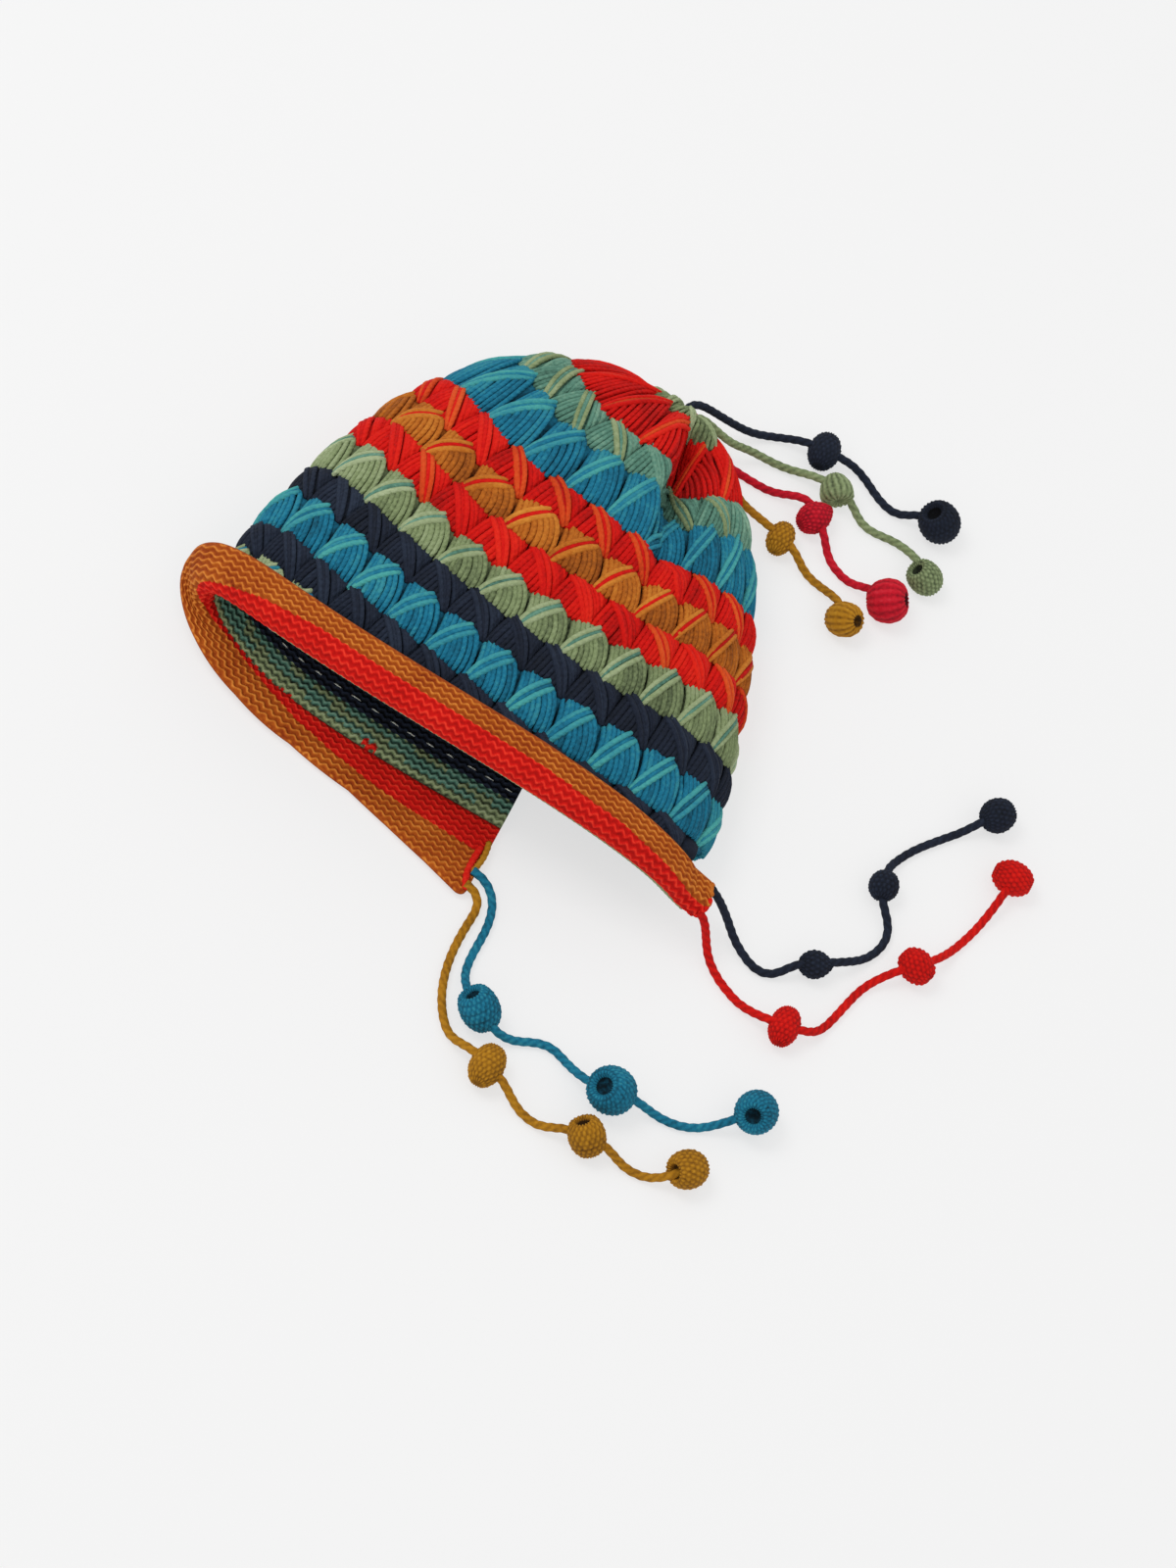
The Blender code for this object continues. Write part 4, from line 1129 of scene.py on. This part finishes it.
cordTable = [
    {"name": "topCordNavy",
     "shapes": [(95, 0, 0.86, 1.12, "egg"), (190, 50, 1.02, 1.00, "cup")],
     "node": "top_{}_navy_{}", "wool": "navy", "seat": ("tip", -0.36, 0.36),
     "stretches": [
         ([(19, 197, 27), (24, 201, 23), (31, 205, 17), (39, 209, 11), (48, 214, 5), (59, 221)],
          (80, 223), 5, 1.00, 1.00),
         ([(98, 227), (108, 221), (116, 217), (123, 216)], (141, 219), 5, 1.10, 0.95)]},
    {"name": "topCordSage",
     "shapes": [(125, 0, 0.95, 1.02, "cap"), (190, 38, 0.94, 1.02, "cup")],
     "node": "top_{}_sage_{}", "wool": "sage", "seat": ("tip", 0.36, 0.36),
     "stretches": [
         ([(28, 193, 25), (36, 195, 19), (43, 198, 13), (50, 203, 8), (58, 206, 4), (68, 208)],
          (93, 208), -8, 0.94, 0.96),
         ([(109, 203), (117, 201), (126, 203)], (147, 190), -48, 0.96, 0.90)]},
    {"name": "topCordCrimson",
     "shapes": [(62, 0, 0.84, 1.14, "tear"), (20, 30, 1.08, 1.00, "shell")],
     "node": "top_{}_red_{}", "wool": "crimson", "seat": ("tip", -0.36, -0.50),
     "stretches": [
         ([(20, 197, 19), (26, 199, 13), (34, 197, 7), (44, 194), (56, 193), (68, 193)],
          (91, 190), -42, 1.00, 0.98),
         ([(105, 177), (112, 173), (119, 171)], (137, 168), -12, 1.10, 0.95)]},
    {"name": "topCordMustard",
     "shapes": [(92, 0, 0.80, 1.12, "egg"), (-10, 45, 0.95, 1.04, "shell")],
     "node": "top_{}_mustard_{}", "wool": "mustard", "seat": ("tip", 0.36, -0.50),
     "stretches": [
         ([(27, 193, 17), (33, 192, 11), (40, 189, 5), (49, 186), (60, 180)],
          (82, 171), -15, 0.90, 0.98),
         ([(99, 164), (107, 162)], (124, 149), -55, 0.98, 0.96)]},
    {"name": "tieCordNavy",
     "shapes": [(30, 0, 0.80, 1.00, "tear"), (100, 0, 0.95, 1.00, "egg"), (55, 0, 0.95, 1.0, "egg")],
     "node": "tie_{}_navy_{}", "wool": "navy", "seat": ("near",),
     "stretches": [
         ([(142, -14, 10), (148, -17, 4), (156, -21), (163, -24), (170, -22)],
          (184, -9), 35, 0.92, 1.25),
         ([(202, 8), (206, 18), (204, 28)], (194, 41), 105, 0.82, 1.00),
         ([(194, 57), (199, 67), (207, 78), (214, 87)], (224, 100), 55, 0.96, 1.00)]},
    {"name": "tieCordRed",
     "shapes": [(96, 0, 0.80, 1.12, "egg"), (-20, 0, 0.92, 1.06, "egg"), (5, 0, 0.90, 1.08, "egg")],
     "node": "tie_{}_red_{}", "wool": "red", "seat": ("near",),
     "stretches": [
         ([(138, -28, 10), (142, -31, 4), (151, -37), (163, -42)], (184, -43), 12, 0.98, 1.00),
         ([(199, -33), (203, -18), (207, -4)], (222, 14), 48, 0.94, 0.98),
         ([(234, 34), (239, 50)], (242, 76), 88, 1.00, 1.00)]},
    {"name": "tieCordTeal",
     "shapes": [(165, 42, 0.95, 1.12, "cup"), (215, 50, 1.02, 1.00, "cup"), (-100, 44, 1.0, 1.04, "cup")],
     "node": "tie_{}_teal_{}", "wool": "teal", "seat": ("far",),
     "stretches": [
         ([(49, -54), (53, -61), (55, -71), (55, -83), (56, -93)], (69, -108), -30, 1.06, 1.00),
         ([(87, -110), (96, -105), (103, -103), (110, -106)], (133, -111), 10, 1.20, 0.94),
         ([(155, -107), (165, -106), (174, -101)], (190, -86), 50, 1.10, 0.96)]},
    {"name": "tieCordMustard",
     "shapes": [(90, 0, 0.84, 1.14, "egg"), (150, 42, 0.95, 1.05, "cup"), (228, 16, 1.0, 1.0, "cup")],
     "node": "tie_{}_mustard_{}", "wool": "mustard", "seat": ("far",),
     "stretches": [
         ([(47, -61), (47, -71), (47, -84), (49, -98), (54, -111), (63, -122)],
          (83, -128), -18, 1.02, 0.98),
         ([(103, -136), (113, -138)], (133, -134), 6, 0.98, 0.96),
         ([(153, -135), (163, -134)], (176, -124), 52, 0.98, 1.00)]},
]


# A cord's seat in the hat's frame and the way it leaves. At the tip it lies on the disc, beside
# its middle. At the band's ends it is taken from the box of the cord's first stretch.
def cordSeat(entry):
    kind, *shares = entry["seat"]
    if kind == "tip":
        seat = np.array([tip["side"] * hat["halfWidth"] + shares[0] * hat["gather"],
                         hat["height"] + cord["seatGap"],
                         tip["rise"] * hat["arch"] + shares[1] * hat["gather"]])
        return seat, np.array([0, 1.0, 0])
    low, high = np.array(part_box(entry["node"].format("cord", 1)))
    height = high[2] if kind == "near" else (low[2] + high[2]) / 2
    corner = np.array([low[0] - hat["axisX"], high[1] - hat["rimLineY"], height])
    return corner + cord[kind + "Seat"], np.array(cord[kind + "Way"])


# Bobble forms: radius across and place along, as shares from the near pole (-1) to the open
# end, where the profile turns into the dimple.
bobbleForms = {
    "cup": [(0.00, -1.00), (0.34, -0.97), (0.68, -0.80), (0.93, -0.40), (1.00, 0.05), (0.93, 0.48),
            (0.76, 0.82), (0.56, 0.93), (0.40, 0.84), (0.30, 0.60), (0.00, 0.42)],
    "shell": [(0.00, -1.00), (0.30, -0.98), (0.60, -0.86), (0.90, -0.48), (1.00, 0.00), (0.92, 0.46),
              (0.70, 0.80), (0.40, 0.94), (0.22, 0.88), (0.12, 0.72), (0.00, 0.64)],
    "egg": [(0.00, -1.00), (0.30, -0.97), (0.62, -0.80), (0.92, -0.42), (1.00, -0.02), (0.94, 0.36),
            (0.76, 0.70), (0.46, 0.93), (0.24, 0.99), (0.10, 1.00), (0.00, 1.00)],
    "cap": [(0.00, -0.72), (0.40, -0.76), (0.78, -0.74), (0.98, -0.52), (1.00, -0.15), (0.90, 0.26),
            (0.68, 0.62), (0.42, 0.86), (0.22, 0.97), (0.10, 1.00), (0.00, 1.00)],
    "tear": [(0.00, -1.00), (0.34, -0.97), (0.68, -0.78), (0.95, -0.40), (1.00, -0.05), (0.86, 0.32),
             (0.58, 0.62), (0.34, 0.82), (0.20, 0.95), (0.10, 1.00), (0.00, 1.00)],
}

# The crochet: how fine the mesh is, the size of a stitch and of a round of stitches, the ribs of
# two of the forms, and the painted shade and painted highlight of the stitches. The hole's painted
# shade starts at a share of the way to the open end.
bobbleStitch = {
    "columns": 72,
    "rings": 40,
    "stitch": 0.0026,
    "row": 0.0022,
    "height": 0.0007,
    "stitchPower": 0.7,      # the lower, the fuller a stitch
    "smoothEnd": 0.2,        # share of the diameter inside which the relief fades to the poles
    "ribs": 15,
    "ribShare": 0.75,
    "ribPower": 0.8,
    "ribTwist": 1.6,
    "furrowShadeTone": 0.22,
    "crestHighlightTone": 0.45,
    "holeFrom": 0.83,
    "holeShadeTone": 0.02,
}


# A bobble's profile: radius and place along the axis at an even spacing, with its corners
# rounded by a running mean.
def bobbleProfile(form, diameter, length):
    profile = np.array(bobbleForms[form])
    way = wayAlong(profile)
    wanted = np.linspace(0, way[-1], bobbleStitch["rings"])
    kernel = np.array([0.25, 0.5, 0.25])
    across, along = (np.interp(wanted, way, profile[:, axis]) for axis in (0, 1))
    for values in (across, along):
        values[1:-1] = np.convolve(values, kernel, "valid")
    return across * diameter / 2, along * length / 2


# A crocheted bobble: its profile turned round its axis, with a stitch bump wherever a round of
# stitches crosses a column of them, every second round half a stitch on. It rests on the table.
def addBobble(name, woolName, middle, size, heading, tilt, acrossShare, alongShare, form):
    diameter, length = size * acrossShare, size * alongShare
    across, along = bobbleProfile(form, diameter, length)
    meridian = wayAlong(np.stack([across, along], -1))
    stitches = max(8, round(math.pi * diameter / bobbleStitch["stitch"]))
    rounds = meridian / bobbleStitch["row"]
    turn = np.arange(bobbleStitch["columns"]) * 2 * math.pi / bobbleStitch["columns"]
    phase = turn[:, None] * stitches + np.floor(rounds)[None, :] * math.pi
    swell = np.sin(math.pi * np.mod(rounds, 1))[None, :] ** bobbleStitch["stitchPower"]
    bump = (0.5 + 0.5 * np.cos(phase)) * swell
    if form in ("shell", "cap"):
        twist = bobbleStitch["ribTwist"] * along / length
        ribs = (0.5 + 0.5 * np.cos(bobbleStitch["ribs"] * turn[:, None] + twist)) ** bobbleStitch["ribPower"]
        bump = bump + (ribs - bump) * bobbleStitch["ribShare"]
    bump = bump * np.clip(across / (diameter * bobbleStitch["smoothEnd"]), 0, 1)[None, :]
    relief = (bump - 0.5) * bobbleStitch["height"]
    spaced = meridian + np.arange(len(along)) * 1e-9   # no two places are the same
    radial = across + np.gradient(along, spaced) * relief
    radial[:, [0, -1]] = 0
    lengthwise = along - np.gradient(across, spaced) * relief
    local = np.stack([lengthwise, radial * np.cos(turn)[:, None], radial * np.sin(turn)[:, None]], -1)
    angle = math.radians(heading)
    up = math.radians(tilt)
    axisX = np.array([math.cos(angle) * math.cos(up), math.sin(angle) * math.cos(up), math.sin(up)])
    axisY = np.array([-math.sin(angle), math.cos(angle), 0])
    height = math.hypot(diameter * math.cos(up), length * math.sin(up)) / 2
    world = local @ np.array([axisX, axisY, np.cross(axisX, axisY)]) + [middle[0], middle[1], height]
    columns, rings = world.shape[:2]
    poles = world[:, [0, -1]].mean(0)
    points = np.vstack([world[:, 1:-1].reshape(-1, 3), poles])
    here = np.arange(columns) * (rings - 2)
    after = np.roll(here, -1)
    pole = np.full(columns, columns * (rings - 2))
    caps = np.concatenate([np.stack([after, here, pole], -1),
                           np.stack([here + rings - 3, after + rings - 3, pole + 1], -1)])
    faces = gridFaces(columns, rings - 2, True).tolist() + caps.tolist()
    hollow = form in ("cup", "shell")
    # Painted shade inside the hole of a hollow bobble.
    inHole = (np.arange(rings) > rings * bobbleStitch["holeFrom"]) & hollow
    # Painted highlight on the stitch bumps and ribs, painted shade between them.
    outside = bobbleStitch["furrowShadeTone"] + bobbleStitch["crestHighlightTone"] * bump
    tone = np.where(inHole, bobbleStitch["holeShadeTone"], outside)[:, 1:-1]
    # The far pole gets the darkest tone, painted shade as in the hole.
    tone = np.concatenate([tone.ravel(), [0.3, 0.0]])
    points = aboveTable(points, 0.0002)
    return addPiece(name, toScene(points), faces, [wool(woolName)], np.zeros(len(faces)), tone)


# A crocheted cord: a tube whose radius swells along three turning braids.
def addCord(entry):
    place, away = cordSeat(entry)
    low = cord["diameter"] / 2 + cord["lift"]
    points = [place, place + away * cord["diameter"]]
    bobbles, nodes = [], []
    for number, (route, middle, heading, size, share) in enumerate(entry["stretches"], 1):
        diameter = size * cord["bobble"]
        length = share * diameter
        turn = math.radians(heading)
        along = np.array([math.cos(turn), math.sin(turn), 0])
        centre = np.array([middle[0] / 1000, middle[1] / 1000, diameter / 2])
        points += [np.array([x / 1000, y / 1000, z[0] / 1000 if z else low]) for x, y, *z in route]
        points += [centre - along * length / 2, centre]
        if number < len(entry["stretches"]):
            points += [centre + along * length / 2]
        name = entry["name"].replace("Cord", "Bobble") + str(number)
        bobble = addBobble(name, entry["wool"], centre, diameter, *entry["shapes"][number - 1])
        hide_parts(entry["node"].format("bobble", number))
        bobbles.append(bobble)
        nodes.append(entry["node"].format("cord", number))
    line = smoothRoute(np.array(points), cord["diameter"] / 2, cord["step"])
    tangent = unit(np.gradient(line, axis=0))
    side = unit(np.cross(tangent, [0, 0, 1.0]) + 1e-9)
    up = np.cross(side, tangent)
    turn = np.arange(cord["sides"]) * 2 * math.pi / cord["sides"]
    way = wayAlong(line)
    braid = 0.5 + 0.5 * np.cos(cord["braids"] * turn[None, :] - 2 * math.pi * way[:, None] / cord["pitch"])
    swell = cord["braidDepth"] * 2 * braid ** cord["braidPower"]
    radius = cord["diameter"] / 2 * (1 - cord["braidDepth"] + swell)
    ring = np.cos(turn)[None, :, None] * side[:, None] + np.sin(turn)[None, :, None] * up[:, None]
    points = line[:, None] + ring * radius[..., None]
    flat = aboveTable(np.vstack([points.reshape(-1, 3), line[:1], line[-1:]]), 0.0002)
    quads, caps = strandFaces(len(line), cord["sides"])
    faces = quads.tolist() + caps.tolist()
    # The braids' crests get painted highlight, the furrows painted shade.
    tone = np.concatenate([(cord["furrowShadeTone"] + cord["crestHighlightTone"] * braid).ravel(), [0.3, 0.3]])
    piece = addPiece(entry["name"], toScene(flat), faces, [wool(entry["wool"])],
                     np.zeros(len(faces)), tone)
    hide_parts(*nodes)
    return piece


cords = [addCord(entry) for entry in cordTable]
print("cords and bobbles crocheted:", sum(len(piece.data.polygons) for piece in cords), "faces")


# The floor: a pale, matt sheet that is lit from below as well, so that shadows stay faint.
paper = {"size": 6.0, "colour": "#898989", "glow": 0.64, "roughness": 0.95, "specular": 0.1}


def addFloor():
    mesh = bpy.data.meshes.new("floor")
    half = paper["size"] / 2
    mesh.from_pydata([(-half, -half, 0), (half, -half, 0), (half, half, 0), (-half, half, 0)], [],
                     [(0, 1, 2, 3)])
    floor = bpy.data.objects.new("floor", mesh)
    bpy.context.scene.collection.objects.link(floor)
    material = bpy.data.materials.new("mattPaper")
    material.use_nodes = True
    shader = material.node_tree.nodes["Principled BSDF"]
    shader.inputs["Base Color"].default_value = linear(paper["colour"])
    shader.inputs["Emission Color"].default_value = linear("#ffffff")
    shader.inputs["Emission Strength"].default_value = paper["glow"]
    shader.inputs["Roughness"].default_value = paper["roughness"]
    shader.inputs["Specular IOR Level"].default_value = paper["specular"]
    mesh.materials.append(material)


# A soft box from the upper left over a bright, even surround.
studio = {"sky": 0.84, "keyPower": 12, "keySize": 0.8, "keyPlace": (-1.0, -0.1, 1.8)}


def addLight():
    world = bpy.data.worlds.new("studio")
    world.use_nodes = True
    world.node_tree.nodes["Background"].inputs["Color"].default_value = (1, 1, 1, 1)
    world.node_tree.nodes["Background"].inputs["Strength"].default_value = studio["sky"]
    bpy.context.scene.world = world
    bpy.context.scene.view_settings.view_transform = "Standard"   # keeps the wool's saturated shades
    key = bpy.data.lights.new("softBox", "AREA")
    key.energy = studio["keyPower"]
    key.size = studio["keySize"]
    lamp = bpy.data.objects.new("softBox", key)
    lamp.location = studio["keyPlace"]
    lamp.rotation_euler = (-Vector(studio["keyPlace"])).to_track_quat("-Z", "Y").to_euler()
    bpy.context.scene.collection.objects.link(lamp)


# The camera stands back from its target on the way up, and rolls round its own axis.
def addCamera():
    lens = bpy.data.cameras.new("camera")
    lens.lens = view["lens"]
    lens.sensor_width = view["sensor"]
    camera = bpy.data.objects.new("camera", lens)
    bpy.context.scene.collection.objects.link(camera)
    elevation = math.radians(view["elevation"])
    back = Vector((0, -math.cos(elevation), math.sin(elevation)))
    target = Vector((hat["axisX"] + view["sideways"], hat["rimLineY"] + view["forward"], 0))
    camera.location = target + back * view["distance"]
    turned = back.to_track_quat("Z", "Y").to_matrix().to_4x4()
    roll = Vector((0, 0, 1))
    camera.rotation_euler = (turned @ Matrix.Rotation(math.radians(view["roll"]), 4, roll)).to_euler()
    bpy.context.scene.camera = camera


addFloor()
addLight()
addCamera()
print("stage set")

bpy.context.view_layer.update()
